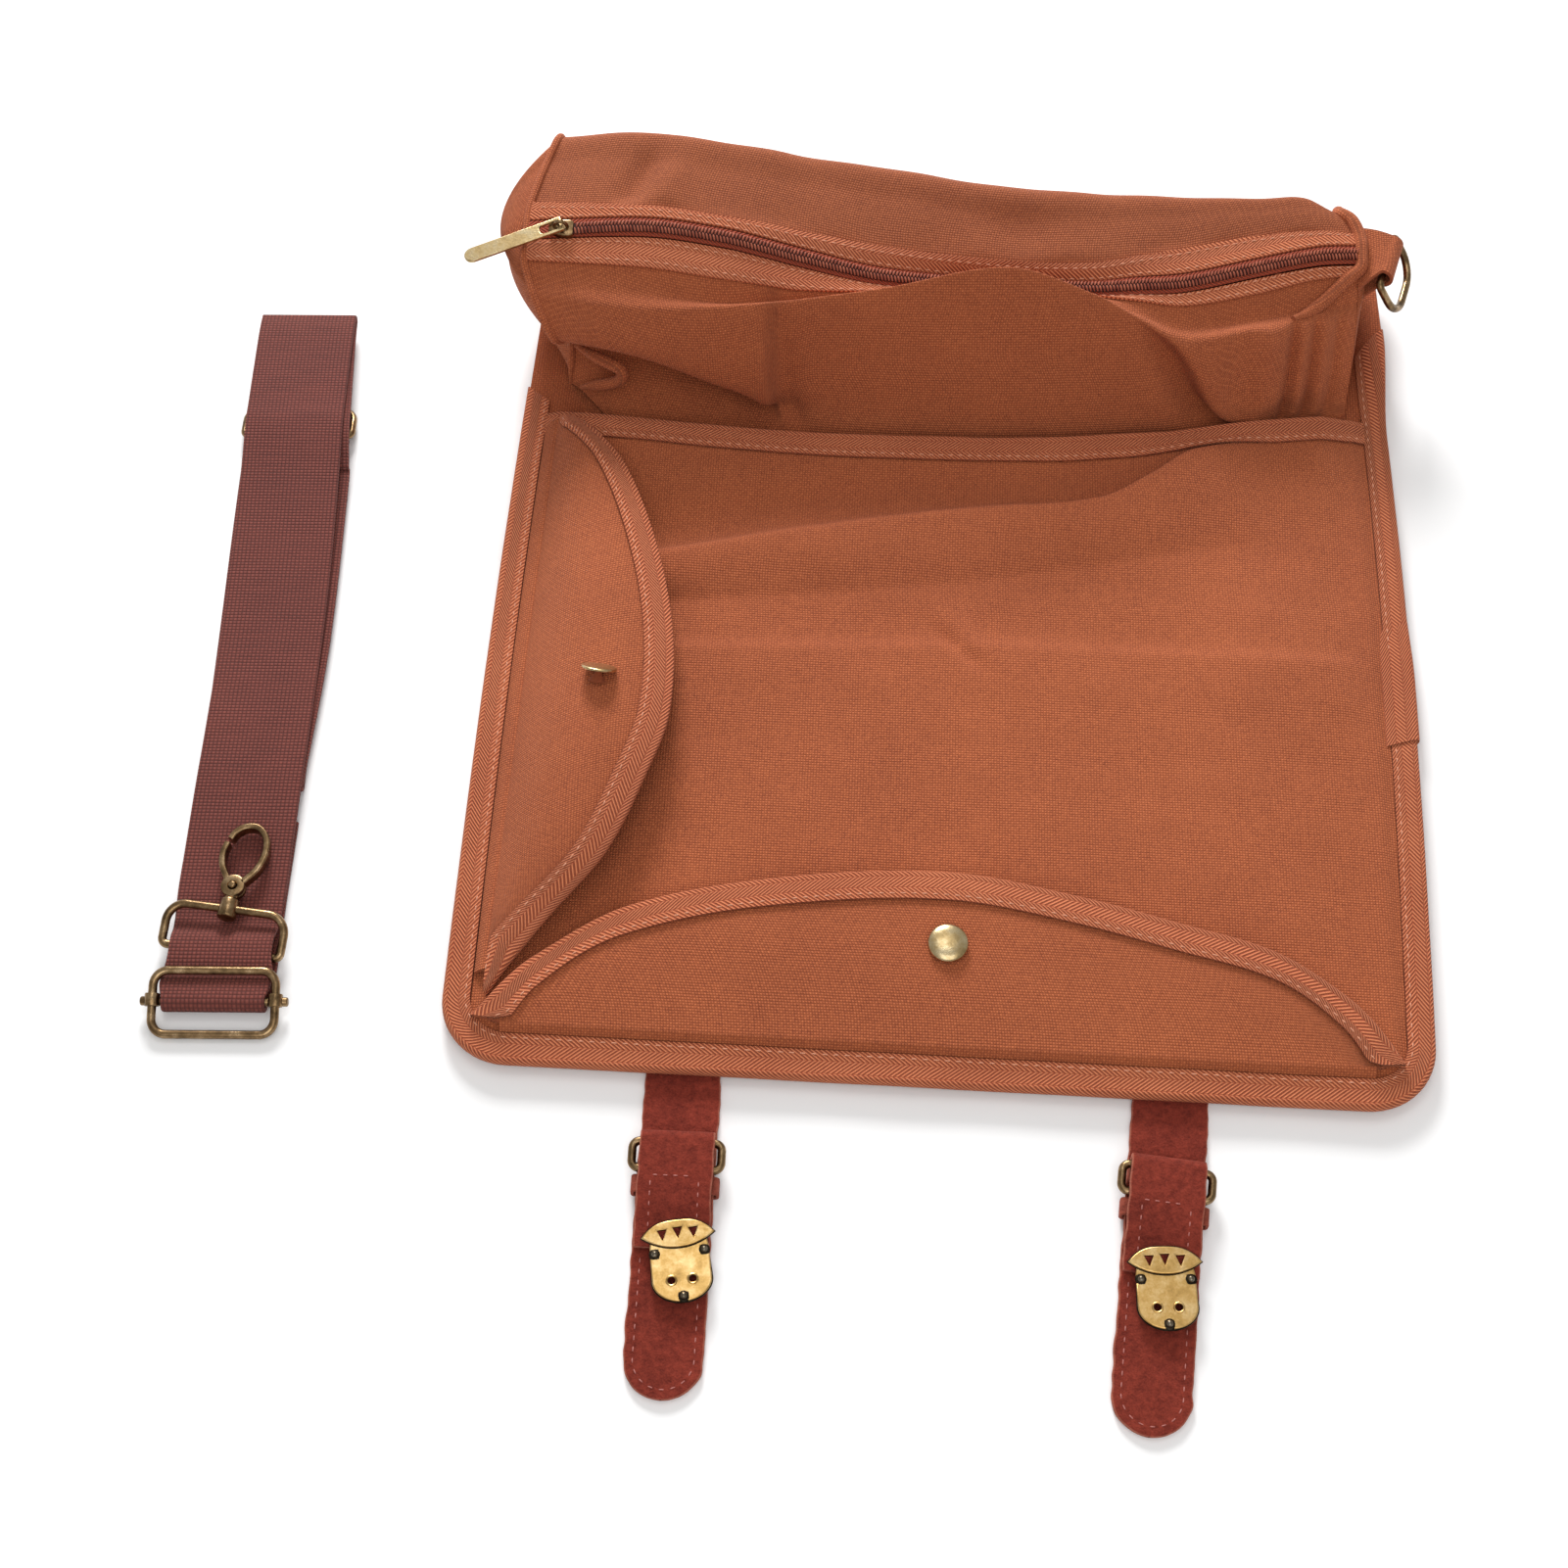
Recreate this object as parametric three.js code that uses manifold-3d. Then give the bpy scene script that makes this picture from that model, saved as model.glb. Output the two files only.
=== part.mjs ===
// Bartender roll bag of canvas, unrolled on a surface with its inside up, and its shoulder strap beside it.
// Millimetres, +Z up. +X runs along the bag's width, +Y from the suede tabs to the zip compartment.
// The origin is the middle of the underside of the base panel, on the surface that the bag lies on.
import * as THREE from 'three';
import Module from 'manifold-3d';

// Driving dimensions
const gap = 0.3; // clearance between neighbouring pieces
const bag = { width: 330, length: 366, cornerRadius: 22, rightBow: 4, leftBow: 2 };
const base = { wall: 2, lift: 3.6, flatInset: 26, marginInset: 12 };
const cloth = { wall: 1.2 };
const tape = { wall: 0.9, width: 8.5, clear: 0.4, round: 1 };
const zip = { opening: 8.6, edgeGap: 0.7, tapeWall: 0.8, chainWidth: 5, chainHeight: 2.2, facingWall: 0.8 };
const compartment = { wall: 1.5, leftEnd: -156, rightEnd: 152, backFoot: 180, leftBulge: 20, rightBulge: 4 };
const webbing = { width: 37.6, wall: 1.8, bow: 2.4, narrow: 35 };
const suede = { width: 25.4, wall: 2 };
const wire = { slider: 1.5, loop: 1.5, ring: 1.5 };

const half = bag.width / 2;
const frontEdge = -bag.length / 2;
const backEdge = bag.length / 2;
const floorTop = base.lift + base.wall; // top of the base panel at its raised margin

// Colours, roughness and metalness of each finish
const finish = {
  canvas: { color: 0xa85a37, roughness: 0.95, metalness: 0 },
  twill: { color: 0xb4624a, roughness: 0.95, metalness: 0 },
  suede: { color: 0x7a3228, roughness: 1, metalness: 0 },
  webbing: { color: 0x7d4a43, roughness: 0.95, metalness: 0 },
  zip: { color: 0x8c3020, roughness: 0.6, metalness: 0 },
  brass: { color: 0x8f7a4c, roughness: 0.4, metalness: 1 },
};

const wasm = await Module();
wasm.setup();
const root = new THREE.Group();
const at = (x, y, z) => new THREE.Vector3(x, y, z);
const { lerp, clamp, degToRad } = THREE.MathUtils;

function add(name, geometry, finishName, parent = root) {
  const mesh = new THREE.Mesh(geometry, new THREE.MeshStandardMaterial(finish[finishName]));
  mesh.name = name;
  parent.add(mesh);
  return mesh;
}

// A closed body from points and triangles, turned so that its faces point outwards
function solid(points, triangles) {
  let volume = 0;
  for (let k = 0; k < triangles.length; k += 3) {
    const [a, b, c] = [points[triangles[k]], points[triangles[k + 1]], points[triangles[k + 2]]];
    volume += a.dot(b.clone().cross(c));
  }
  const geometry = new THREE.BufferGeometry();
  geometry.setAttribute('position', new THREE.Float32BufferAttribute(points.flatMap((p) => p.toArray()), 3));
  geometry.setIndex(volume > 0 ? triangles : triangles.reverse());
  return geometry;
}

// Unit normals of a grid of points, from its neighbours along rows and columns
function gridNormals(rows) {
  return rows.map((row, i) => row.map((p, j) => {
    const alongRows = rows[Math.min(i + 1, rows.length - 1)][j].clone().sub(rows[Math.max(i - 1, 0)][j]);
    const alongRow = row[Math.min(j + 1, row.length - 1)].clone().sub(row[Math.max(j - 1, 0)]);
    return alongRows.cross(alongRow).normalize();
  }));
}

// The grid moved along its normals
function offsetGrid(rows, distance) {
  const normals = gridNormals(rows);
  return rows.map((row, i) => row.map((p, j) => p.clone().addScaledVector(normals[i][j], distance)));
}

// Two triangles over a quad, split along its shorter diagonal
function quad(points, a, b, c, d) {
  const short = points[a].distanceTo(points[c]) <= points[b].distanceTo(points[d]);
  return short ? [a, b, c, a, c, d] : [a, b, d, b, c, d];
}

// A sheet of cloth: the grid is one face and the other lies one wall behind it
function sheet(rows, wall) {
  const behind = offsetGrid(rows, -wall);
  const [n, m] = [rows.length, rows[0].length];
  const points = [...rows.flat(), ...behind.flat()];
  const index = (i, j) => i * m + j;
  const back = n * m;
  const triangles = [];
  for (let i = 0; i < n - 1; i += 1) {
    for (let j = 0; j < m - 1; j += 1) {
      const face = quad(points, index(i, j), index(i + 1, j), index(i + 1, j + 1), index(i, j + 1));
      triangles.push(...face, ...face.map((v) => back + v).reverse());
    }
  }
  const rim = (p, q) => triangles.push(q, p, back + p, q, back + p, back + q);
  for (let i = 0; i < n - 1; i += 1) {
    rim(index(i, 0), index(i + 1, 0));
    rim(index(i + 1, m - 1), index(i, m - 1));
  }
  for (let j = 0; j < m - 1; j += 1) {
    rim(index(n - 1, j), index(n - 1, j + 1));
    rim(index(0, j + 1), index(0, j));
  }
  return solid(points, triangles);
}

// Triangles that fill a flat outline, turned the way that the outline runs
function fill(outline, holes = []) {
  const faces = THREE.ShapeUtils.triangulateShape(outline, holes);
  return THREE.ShapeUtils.isClockWise(outline) ? faces.map((face) => face.reverse()) : faces;
}

// A body through cross-sections of equal point count, capped at both ends or closed on itself
function loft(sections, { loop = false, flat = null } = {}) {
  const [n, m] = [sections.length, sections[0].length];
  const points = sections.flat();
  const triangles = [];
  for (let i = 0; i < (loop ? n : n - 1); i += 1) {
    for (let k = 0; k < m; k += 1) {
      const [a, b] = [i * m + k, i * m + ((k + 1) % m)];
      const [c, d] = [((i + 1) % n) * m + ((k + 1) % m), ((i + 1) % n) * m + k];
      triangles.push(...quad(points, a, b, c, d));
    }
  }
  if (!loop) {
    for (const [a, b, c] of fill(flat)) {
      triangles.push(c, b, a, (n - 1) * m + a, (n - 1) * m + b, (n - 1) * m + c);
    }
  }
  return solid(points, triangles);
}

// Frames along a path of points: across lies sideways and up stands square to the path
function framesAlong(path, upward, loop = false) {
  const n = path.length;
  return path.map((p, i) => {
    const next = path[loop ? (i + 1) % n : Math.min(i + 1, n - 1)];
    const last = path[loop ? (i + n - 1) % n : Math.max(i - 1, 0)];
    const tangent = next.clone().sub(last).normalize();
    const across = tangent.clone().cross(upward).normalize();
    return { p, across, up: across.clone().cross(tangent) };
  });
}

// A flat section of [across, up] pairs carried along a path
function sweep(section, path, upward, loop = false) {
  const flat = section.map(([s, u]) => new THREE.Vector2(s, u));
  const sections = framesAlong(path, upward, loop).map(({ p, across, up }) => (
    flat.map((q) => p.clone().addScaledVector(across, q.x).addScaledVector(up, q.y))));
  return loft(sections, { loop, flat });
}

const rectangle = (width, height) => [
  [-width / 2, -height / 2], [width / 2, -height / 2], [width / 2, height / 2], [-width / 2, height / 2]];

const circle = (radius, sides) => Array.from({ length: sides }, (_, k) => {
  const turn = (2 * Math.PI * (k + 0.5)) / sides;
  return [radius * Math.cos(turn), radius * Math.sin(turn)];
});

const steps = (from, to, count) => Array.from({ length: count + 1 }, (_, k) => lerp(from, to, k / count));

// Rows of numbers with named columns
function table(columns, rows) {
  return rows.map((row) => Object.fromEntries(columns.split(' ').map((name, k) => [name, row[k]])));
}

// Smooth reading of a table's column at a place between its rows, by cubic steps with averaged slopes
function read(rows, key, column, place) {
  const last = rows.length - 1;
  let i = 0;
  while (i < last - 1 && place > rows[i + 1][key]) i += 1;
  const slope = (k) => {
    const [p, q] = [rows[Math.max(k - 1, 0)], rows[Math.min(k + 1, last)]];
    return (q[column] - p[column]) / (q[key] - p[key]);
  };
  const span = rows[i + 1][key] - rows[i][key];
  const t = clamp((place - rows[i][key]) / span, 0, 1);
  const [a, b] = [rows[i][column], rows[i + 1][column]];
  const ease = t * t * (3 - 2 * t);
  const [start, end] = [t * (1 - t) * (1 - t) * span, t * t * (1 - t) * span];
  return lerp(a, b, ease) + start * slope(i) - end * slope(i + 1);
}

// A soft bump of a given half width around zero
const bump = (distance, width) => Math.exp(-((distance / width) ** 2));

function toManifold(geometry) {
  return new wasm.Manifold(new wasm.Mesh({
    numProp: 3,
    vertProperties: new Float32Array(geometry.getAttribute('position').array),
    triVerts: new Uint32Array(geometry.getIndex().array),
  }));
}

function fromManifold(manifold) {
  const mesh = manifold.getMesh();
  const geometry = new THREE.BufferGeometry();
  geometry.setAttribute('position', new THREE.Float32BufferAttribute(mesh.vertProperties, 3));
  geometry.setIndex(new THREE.Uint32BufferAttribute(mesh.triVerts, 1));
  return geometry;
}

const joined = (...geometries) => fromManifold(geometries.map(toManifold).reduce((a, b) => a.add(b)));

// A plate of a flat outline with holes, standing from z up by its thickness
function plate(outline, holes, z, thickness) {
  const flat = outline.map(([x, y]) => new THREE.Vector2(x, y));
  const cuts = holes.map((hole) => hole.map(([x, y]) => new THREE.Vector2(x, y)));
  const loops = [flat, ...cuts];
  const all = loops.flat();
  const n = all.length;
  const points = [...all.map((p) => at(p.x, p.y, z)), ...all.map((p) => at(p.x, p.y, z + thickness))];
  const triangles = [];
  for (const [a, b, c] of fill(flat, cuts)) {
    triangles.push(c, b, a, n + a, n + b, n + c);
  }
  let start = 0;
  for (const loop of loops) {
    const turn = loop === flat || THREE.ShapeUtils.isClockWise(loop) !== THREE.ShapeUtils.isClockWise(flat);
    for (let k = 0; k < loop.length; k += 1) {
      const p = start + k;
      const q = start + ((k + 1) % loop.length);
      const [a, b] = turn ? [p, q] : [q, p];
      triangles.push(a, b, n + b, a, n + b, n + a);
    }
    start += loop.length;
  }
  return solid(points, triangles);
}

// Outline of the base panel, inset from its edge: straight back, bowed sides, round front corners
const bowAt = (y) => Math.sin((Math.PI * (y + bag.length / 2)) / bag.length);

function panelEdge(inset, sideSteps, cornerSteps) {
  const edge = [];
  const radius = Math.max(bag.cornerRadius - inset, 2);
  const [cornerX, cornerY] = [half - inset - radius, frontEdge + inset + radius];
  const place = (x, y) => {
    const bow = (x > 0 ? bag.rightBow : bag.leftBow) * bowAt(y);
    edge.push(at(x + Math.sign(x) * bow, y, 0));
  };
  const corner = (x, from, to) => {
    for (const turn of steps(from, to, cornerSteps).slice(1, -1)) {
      place(x + radius * Math.cos(turn), cornerY + radius * Math.sin(turn));
    }
  };
  for (const y of steps(backEdge - inset, cornerY, sideSteps)) place(half - inset, y);
  corner(cornerX, 0, -Math.PI / 2);
  for (const x of steps(cornerX, -cornerX, sideSteps)) place(x, frontEdge + inset);
  corner(-cornerX, -Math.PI / 2, -Math.PI);
  for (const y of steps(cornerY, backEdge - inset, sideSteps)) place(-(half - inset), y);
  return edge;
}

// Base panel: flat on the surface, with a margin that rises to its bound edge
function buildBase() {
  const rings = [[0, base.lift], [base.marginInset, base.lift], [base.flatInset, 0]]
    .map(([inset, z]) => panelEdge(inset, 6, 5).map((p) => p.setZ(z)));
  const count = rings[0].length;
  const centre = fill(rings[2].map((p) => new THREE.Vector2(p.x, p.y)));
  const under = rings.flat();
  const points = [...under, ...under.map((p) => p.clone().setZ(p.z + base.wall))];
  const top = under.length;
  const triangles = [];
  for (let k = 0; k < count; k += 1) {
    const next = (k + 1) % count;
    for (const ring of [0, count]) {
      const [a, b, c, d] = [ring + k, ring + next, ring + count + next, ring + count + k];
      triangles.push(a, b, c, a, c, d, top + c, top + b, top + a, top + d, top + c, top + a);
    }
    triangles.push(next, k, top + k, next, top + k, top + next);
  }
  for (const [a, b, c] of centre.map((face) => face.map((v) => v + 2 * count))) {
    triangles.push(a, b, c, top + c, top + b, top + a);
  }
  add('base_panel', solid(points, triangles), 'canvas');
}

// Folded tape over an edge: its two legs lie against the cloth's faces and its web closes the edge.
// Each station gives the cloth's face at the edge and at the legs' inner end, with the face's normal there.
function foldedTape(stations, wall) {
  const sections = stations.map(({ edge, inner, edgeNormal, innerNormal, outward }) => {
    const point = (p, normal, out, height) => (
      p.clone().addScaledVector(outward, out).addScaledVector(normal, height));
    const outside = tape.clear + tape.wall;
    const onEdge = (out, height) => point(edge, edgeNormal, out, height);
    const onInner = (height) => point(inner, innerNormal, 0, height);
    return [
      onInner(outside), onEdge(tape.clear, outside),
      onEdge(outside, -wall / 2 + tape.round), onEdge(outside, -wall / 2 - tape.round),
      onEdge(tape.clear, -wall - outside), onInner(-wall - outside),
      onInner(-wall - tape.clear), onEdge(tape.clear, -wall - tape.clear),
      onEdge(tape.clear, tape.clear), onInner(tape.clear),
    ];
  });
  const flat = [[0, 3], [9, 3], [10, 2], [10, -2], [9, -3], [0, -3], [0, -2], [8, -2], [8, 2], [0, 2]]
    .map(([x, y]) => new THREE.Vector2(x, y));
  return loft(sections, { flat });
}

// Binding round the base panel's sides and front
function buildBaseBinding() {
  const [rightEnd, leftEnd] = [140, 104];
  const edge = panelEdge(0, 6, 5);
  const inner = panelEdge(tape.width, 6, 5);
  const up = at(0, 0, 1);
  const stations = edge.map((p, k) => ({
    edge: p.clone().setZ(floorTop),
    inner: inner[k].clone().setZ(floorTop),
    edgeNormal: up,
    innerNormal: up,
    outward: p.clone().sub(inner[k]).setZ(0).normalize(),
  }));
  const clipped = (inside, outside, y) => {
    const t = (y - inside.edge.y) / (outside.edge.y - inside.edge.y);
    return {
      ...inside,
      edge: inside.edge.clone().lerp(outside.edge, t),
      inner: inside.inner.clone().lerp(outside.inner, t),
    };
  };
  const kept = stations.filter(({ edge: p }, k) => p.y < (k < stations.length / 2 ? rightEnd : leftEnd));
  const [start, end] = [kept[0], kept[kept.length - 1]];
  const first = clipped(start, stations[stations.indexOf(start) - 1], rightEnd);
  const last = clipped(end, stations[stations.indexOf(end) + 1], leftEnd);
  add('base_binding', foldedTape([first, ...kept, last], base.wall), 'twill');
}

// Binding on the free edge of a sheet: it covers the strip between the grid's last two columns
function boundEdge(rows, wall) {
  const normals = gridNormals(rows);
  return foldedTape(rows.map((row, i) => {
    const last = row.length - 1;
    return {
      edge: row[last],
      inner: row[last - 1],
      edgeNormal: normals[i][last],
      innerNormal: normals[i][last - 1],
      outward: row[last].clone().sub(row[last - 1]).normalize(),
    };
  }), wall);
}

// Places across a sheet of a given reach, from 0 to 1, with the last strip as wide as the binding
function stripLines(reach, count) {
  const strip = Math.min(tape.width / reach, 0.6);
  return [...steps(0, 1 - strip, count), 1];
}

// Slack pocket cloth over the base panel, open towards the compartment. Each fold runs along a line.
const pocket = { side: 153.5, front: -171.5, edgeHeight: 8.6, slack: 3.6 };
const mouth = { middle: 82, bow: 13.2, skew: 6.7 };
const pocketFolds = table('startX startY endX endY height width', [
  [-110, 38, 60, 48, 3.2, 9],
  [60, 48, 154, 86, 3.4, 9],
  [-110, 14, 154, 26, 1.6, 12],
  [-70, -22, 110, -26, 0.9, 8],
]);

function foldHeight(x, y) {
  return pocketFolds.reduce((sum, fold) => {
    const [dx, dy] = [fold.endX - fold.startX, fold.endY - fold.startY];
    const t = clamp(((x - fold.startX) * dx + (y - fold.startY) * dy) / (dx * dx + dy * dy), 0, 1);
    const away = Math.hypot(x - fold.startX - t * dx, y - fold.startY - t * dy);
    return sum + fold.height * bump(away, fold.width);
  }, 0);
}

function mouthAt(x) {
  const across = x / pocket.side;
  return mouth.middle + mouth.bow * across ** 2 + mouth.skew * across;
}

function pocketHeight(x, y) {
  const sides = 1 - Math.abs(x / pocket.side) ** 6;
  const front = 1 - Math.exp(-(y - pocket.front) / 28);
  const rise = 0.35 + 0.65 * clamp((y - pocket.front) / 150, 0, 1);
  return pocket.edgeHeight + sides * front * (pocket.slack * rise + foldHeight(x, y));
}

function buildPocket() {
  const rows = steps(-pocket.side, pocket.side, 16).map((x) => {
    const end = mouthAt(x) - tape.clear - tape.wall;
    return stripLines(end - pocket.front, 11).map((t) => {
      const y = lerp(pocket.front, end, t);
      return at(x, y, pocketHeight(x, y));
    });
  });
  add('pocket_panel', sheet(rows, cloth.wall), 'canvas');
  add('pocket_binding', boundEdge(rows, cloth.wall), 'twill');
}

// Side flap: sewn along the left side, puffed up and folded over towards the right
const sideFlap = { hinge: -152.5, hingeHeight: 11.8, puff: 8 };
const sideFlapEdge = table('y x height', [
  [-152, -147, 13],
  [-136, -134, 14.5],
  [-112, -116, 17],
  [-82, -104.5, 20],
  [-57, -98.5, 21],
  [-20, -100.5, 21.5],
  [19, -110, 21.5],
  [55, -124.5, 20],
  [74, -138, 16],
  [82, -147, 13],
]);

function sideFlapPoint(y, t) {
  const [edgeX, edgeZ] = [read(sideFlapEdge, 'y', 'x', y), read(sideFlapEdge, 'y', 'height', y)];
  const wide = (edgeX - sideFlap.hinge) / 54;
  const rise = 1 - (1 - t) ** 2.2;
  const z = lerp(sideFlap.hingeHeight, edgeZ, rise) + sideFlap.puff * wide * Math.sin(Math.PI * t ** 0.8);
  return at(lerp(sideFlap.hinge, edgeX, t), y, z);
}

function buildSideFlap() {
  const rows = steps(82, -152, 16).map((y) => (
    stripLines(read(sideFlapEdge, 'y', 'x', y) - sideFlap.hinge, 6).map((t) => sideFlapPoint(y, t))));
  add('side_flap', sheet(rows, cloth.wall), 'canvas');
  add('side_flap_binding', boundEdge(rows, cloth.wall), 'twill');
}

// Front flap: sewn along the front edge, lying back over the pocket, with an arched free edge
const frontFlap = { hinge: -171, hingeHeight: 10.6, edgeHeight: 15.5, crown: 1.6 };
const frontFlapEdge = table('x y', [
  [-148, -163],
  [-137, -150],
  [-107, -129.5],
  [-54, -115.5],
  [3, -110.5],
  [47, -117],
  [81, -125],
  [114, -134],
  [137, -149],
  [149, -163],
]);

function frontFlapPoint(x, t) {
  const edgeY = read(frontFlapEdge, 'x', 'y', x);
  const reach = (edgeY - frontFlap.hinge) / 60;
  const top = lerp(frontFlap.hingeHeight + 1.5, frontFlap.edgeHeight, clamp(reach, 0, 1));
  const z = lerp(frontFlap.hingeHeight, top, t) + frontFlap.crown * reach * Math.sin(Math.PI * t);
  return at(x, lerp(frontFlap.hinge, edgeY, t), z);
}

function buildFrontFlap() {
  const rows = steps(-148, 149, 18).map((x) => (
    stripLines(read(frontFlapEdge, 'x', 'y', x) - frontFlap.hinge, 4).map((t) => frontFlapPoint(x, t))));
  add('front_flap', sheet(rows, cloth.wall), 'canvas');
  add('front_flap_binding', boundEdge(rows, cloth.wall), 'twill');
}

// Snap caps: a domed disc on a short post
function snapCap(radius, height, post) {
  const profile = [
    [0, -post], [2.4, -post], [2.4, 0], [radius - 0.6, 0], [radius, 0.5], [radius - 0.3, 1.1],
    [radius * 0.72, height * 0.84], [radius * 0.36, height * 0.97], [0, height],
  ].map(([r, z]) => new THREE.Vector2(r, z));
  const sides = 12;
  const points = [at(0, 0, profile[0].y), at(0, 0, height)];
  const ring = profile.slice(1, -1);
  const triangles = [];
  ring.forEach((p) => circle(p.x, sides).forEach(([x, y]) => points.push(at(x, y, p.y))));
  for (let k = 0; k < sides; k += 1) {
    const next = (k + 1) % sides;
    const last = 2 + (ring.length - 1) * sides;
    triangles.push(0, 2 + next, 2 + k, 1, last + k, last + next);
    for (let i = 0; i < ring.length - 1; i += 1) {
      const [a, b] = [2 + i * sides + k, 2 + i * sides + next];
      triangles.push(a, b, b + sides, a, b + sides, a + sides);
    }
  }
  return solid(points, triangles);
}

// Seats a piece on a surface point, its own +Z along the given direction
function seat(mesh, point, direction) {
  mesh.position.copy(point);
  mesh.quaternion.setFromUnitVectors(at(0, 0, 1), direction.clone().normalize());
  return mesh;
}

function buildSnaps() {
  const step = 0.02;
  const [x, t] = [3, 0.57];
  const here = frontFlapPoint(x, t);
  const normal = frontFlapPoint(x + 1, t).sub(here).cross(frontFlapPoint(x, t + step).sub(here)).normalize();
  const front = add('front_snap_cap', snapCap(6.9, 2.6, 0.5), 'brass');
  seat(front, here.clone().addScaledVector(normal, gap + 0.5), normal);
  const [y, s] = [-46, 0.54];
  const there = sideFlapPoint(y, s);
  const lean = at(0.1, 0.74, 0.67).normalize();
  const side = add('side_snap_cap', snapCap(6.4, 1.9, 3.4), 'brass');
  seat(side, there.clone().add(at(0, 0, 2.2)).addScaledVector(lean, 3.4), lean);
}

// Zip compartment by sections along the width. Each row gives the places of its seams and folds in Y and Z:
// the back top corner, the upper facing's seam, the zip, the lower facing's hem, the crest of the front's
// slack cloth, the lip where it turns under and the tuck behind the lip.
const sectionColumns = 'x topY topZ seamY seamZ zipY zipZ hemY hemZ dip crestY crestZ lipY lipZ tuckY tuckZ';
const sections = table(sectionColumns, [
  [-156, 175, 68, 139, 69, 127, 67, 115, 64, 1, 102, 58, 93, 46, 104, 27],
  [-120, 176, 71, 140, 69, 131, 67, 116, 62, 4, 99, 55.5, 91.5, 36, 103, 20],
  [-90, 174, 69, 139, 66, 130, 64, 115, 58.5, 4, 101.5, 55, 90, 26, 101, 14],
  [-60, 171, 67, 137, 62, 127, 58.5, 114, 55, 3, 106, 56.5, 95, 26, 97, 13],
  [-30, 169, 65, 135, 58, 124, 53.5, 116, 54, 0, 111, 59, 98, 33, 90, 16],
  [17, 166, 61, 134.5, 54, 126, 49, 122, 55, 0, 118.5, 65.5, 102, 37, 91, 17],
  [50, 167, 58, 137, 52, 127.5, 48, 121, 51, 0, 116, 58, 103, 34, 93, 16],
  [85, 169, 56, 146, 52.5, 132, 48.5, 123, 46, 2, 109, 46.5, 101, 28, 95.5, 14],
  [112, 171, 55, 153, 53, 139.5, 50, 130, 46.5, 3, 113, 43, 101.5, 20, 100, 11.5],
  [136, 173, 54, 157, 53, 146, 51, 138, 47.5, 2, 121, 40, 108, 22, 105, 12],
  [152, 170, 50, 158, 51, 148.5, 50, 141, 47, 1, 128, 38, 115, 24, 109, 13],
]);
const gathers = { from: 112, fade: 8, pitch: 11, depth: 1.9, top: 0.38, topFade: 0.2, footFade: 0.12 };
const backFootHeight = floorTop + gap;
const foot = { clear: 2.2, lift: 1.6, leftY: 104, leftBlend: 20 };

// Foot of the front: just behind the pocket's mouth and over the base panel, drawn back at the left end
function frontFoot(x) {
  const inset = half - Math.abs(x);
  const margin = clamp((base.flatInset - inset) / (base.flatInset - base.marginInset), 0, 1);
  const blend = clamp((x - compartment.leftEnd) / foot.leftBlend, 0, 1);
  const y = lerp(foot.leftY, mouthAt(x) + foot.clear, blend);
  return at(x, y, base.wall + foot.lift + base.lift * margin);
}

function sectionAt(x) {
  const value = (column) => read(sections, 'x', column, x);
  const pair = (name) => at(x, value(`${name}Y`), value(`${name}Z`));
  const places = ['top', 'seam', 'zip', 'hem', 'crest', 'lip', 'tuck'];
  const [top, seam, middle, hem, crest, lip, tuck] = places.map(pair);
  const across = seam.clone().sub(hem).normalize();
  const upperEdge = middle.clone().addScaledVector(across, zip.opening / 2);
  const lowerEdge = middle.clone().addScaledVector(across, -zip.opening / 2);
  const dip = hem.clone().lerp(crest, 0.5);
  dip.z -= value('dip');
  return {
    front: [lowerEdge, hem, dip, crest, lip, tuck, frontFoot(x)],
    back: [
      upperEdge, seam, seam.clone().lerp(top, 0.55).add(at(0, 0, 1.5)), top,
      at(x, compartment.backFoot - 1, 38), at(x, compartment.backFoot, backFootHeight),
    ],
    middle,
    across,
    up: at(1, 0, 0).cross(across),
  };
}

const through = (points, t) => new THREE.CatmullRomCurve3(points, false, 'catmullrom', 0.5).getPoint(t);

// Vertical ruffles where the front's right end is gathered into its seam
function ruffle(x, t) {
  const { from, fade, pitch, depth, top, topFade, footFade } = gathers;
  const alongWidth = clamp((x - from) / fade, 0, 1);
  const downFront = clamp((t - top) / topFade, 0, 1) * clamp((1 - t) / footFade, 0, 1);
  return depth * alongWidth * downFront * Math.sin((2 * Math.PI * (x - from)) / pitch);
}

// Places of the compartment's grid: close together where the gathers are, and fine under the zip's facings
const stationsX = [...steps(compartment.leftEnd, 108, 10), ...steps(108, compartment.rightEnd, 12).slice(1)];
const frontLines = [...steps(0, 1 / 6, 2), ...steps(1 / 6, 1, 10).slice(1)];
const backLines = [...steps(0, 1 / 5, 2), ...steps(1 / 5, 1, 7).slice(1)];

function frontPoint(x, t) {
  const p = through(sectionAt(x).front, t);
  p.y -= ruffle(x, t);
  return p;
}

const backPoint = (x, t) => through(sectionAt(x).back, t);

function buildCompartment() {
  const front = stationsX.map((x) => frontLines.map((t) => frontPoint(x, t)).reverse());
  const back = stationsX.map((x) => backLines.map((t) => backPoint(x, t)));
  add('compartment_front', sheet(front, compartment.wall), 'canvas');
  add('compartment_back', sheet(back, compartment.wall), 'canvas');
  buildEnd('compartment_end_left', compartment.leftEnd, -1, compartment.leftBulge);
  buildEnd('compartment_end_right', compartment.rightEnd, 1, compartment.rightBulge);
  const facing = (name, rows) => {
    add(name, sheet(offsetGrid(rows, gap + zip.facingWall), zip.facingWall), 'twill');
  };
  facing('zip_facing_lower', front.map((row) => row.slice(-3)));
  facing('zip_facing_upper', back.map((row) => row.slice(0, 3)));
}

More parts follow.
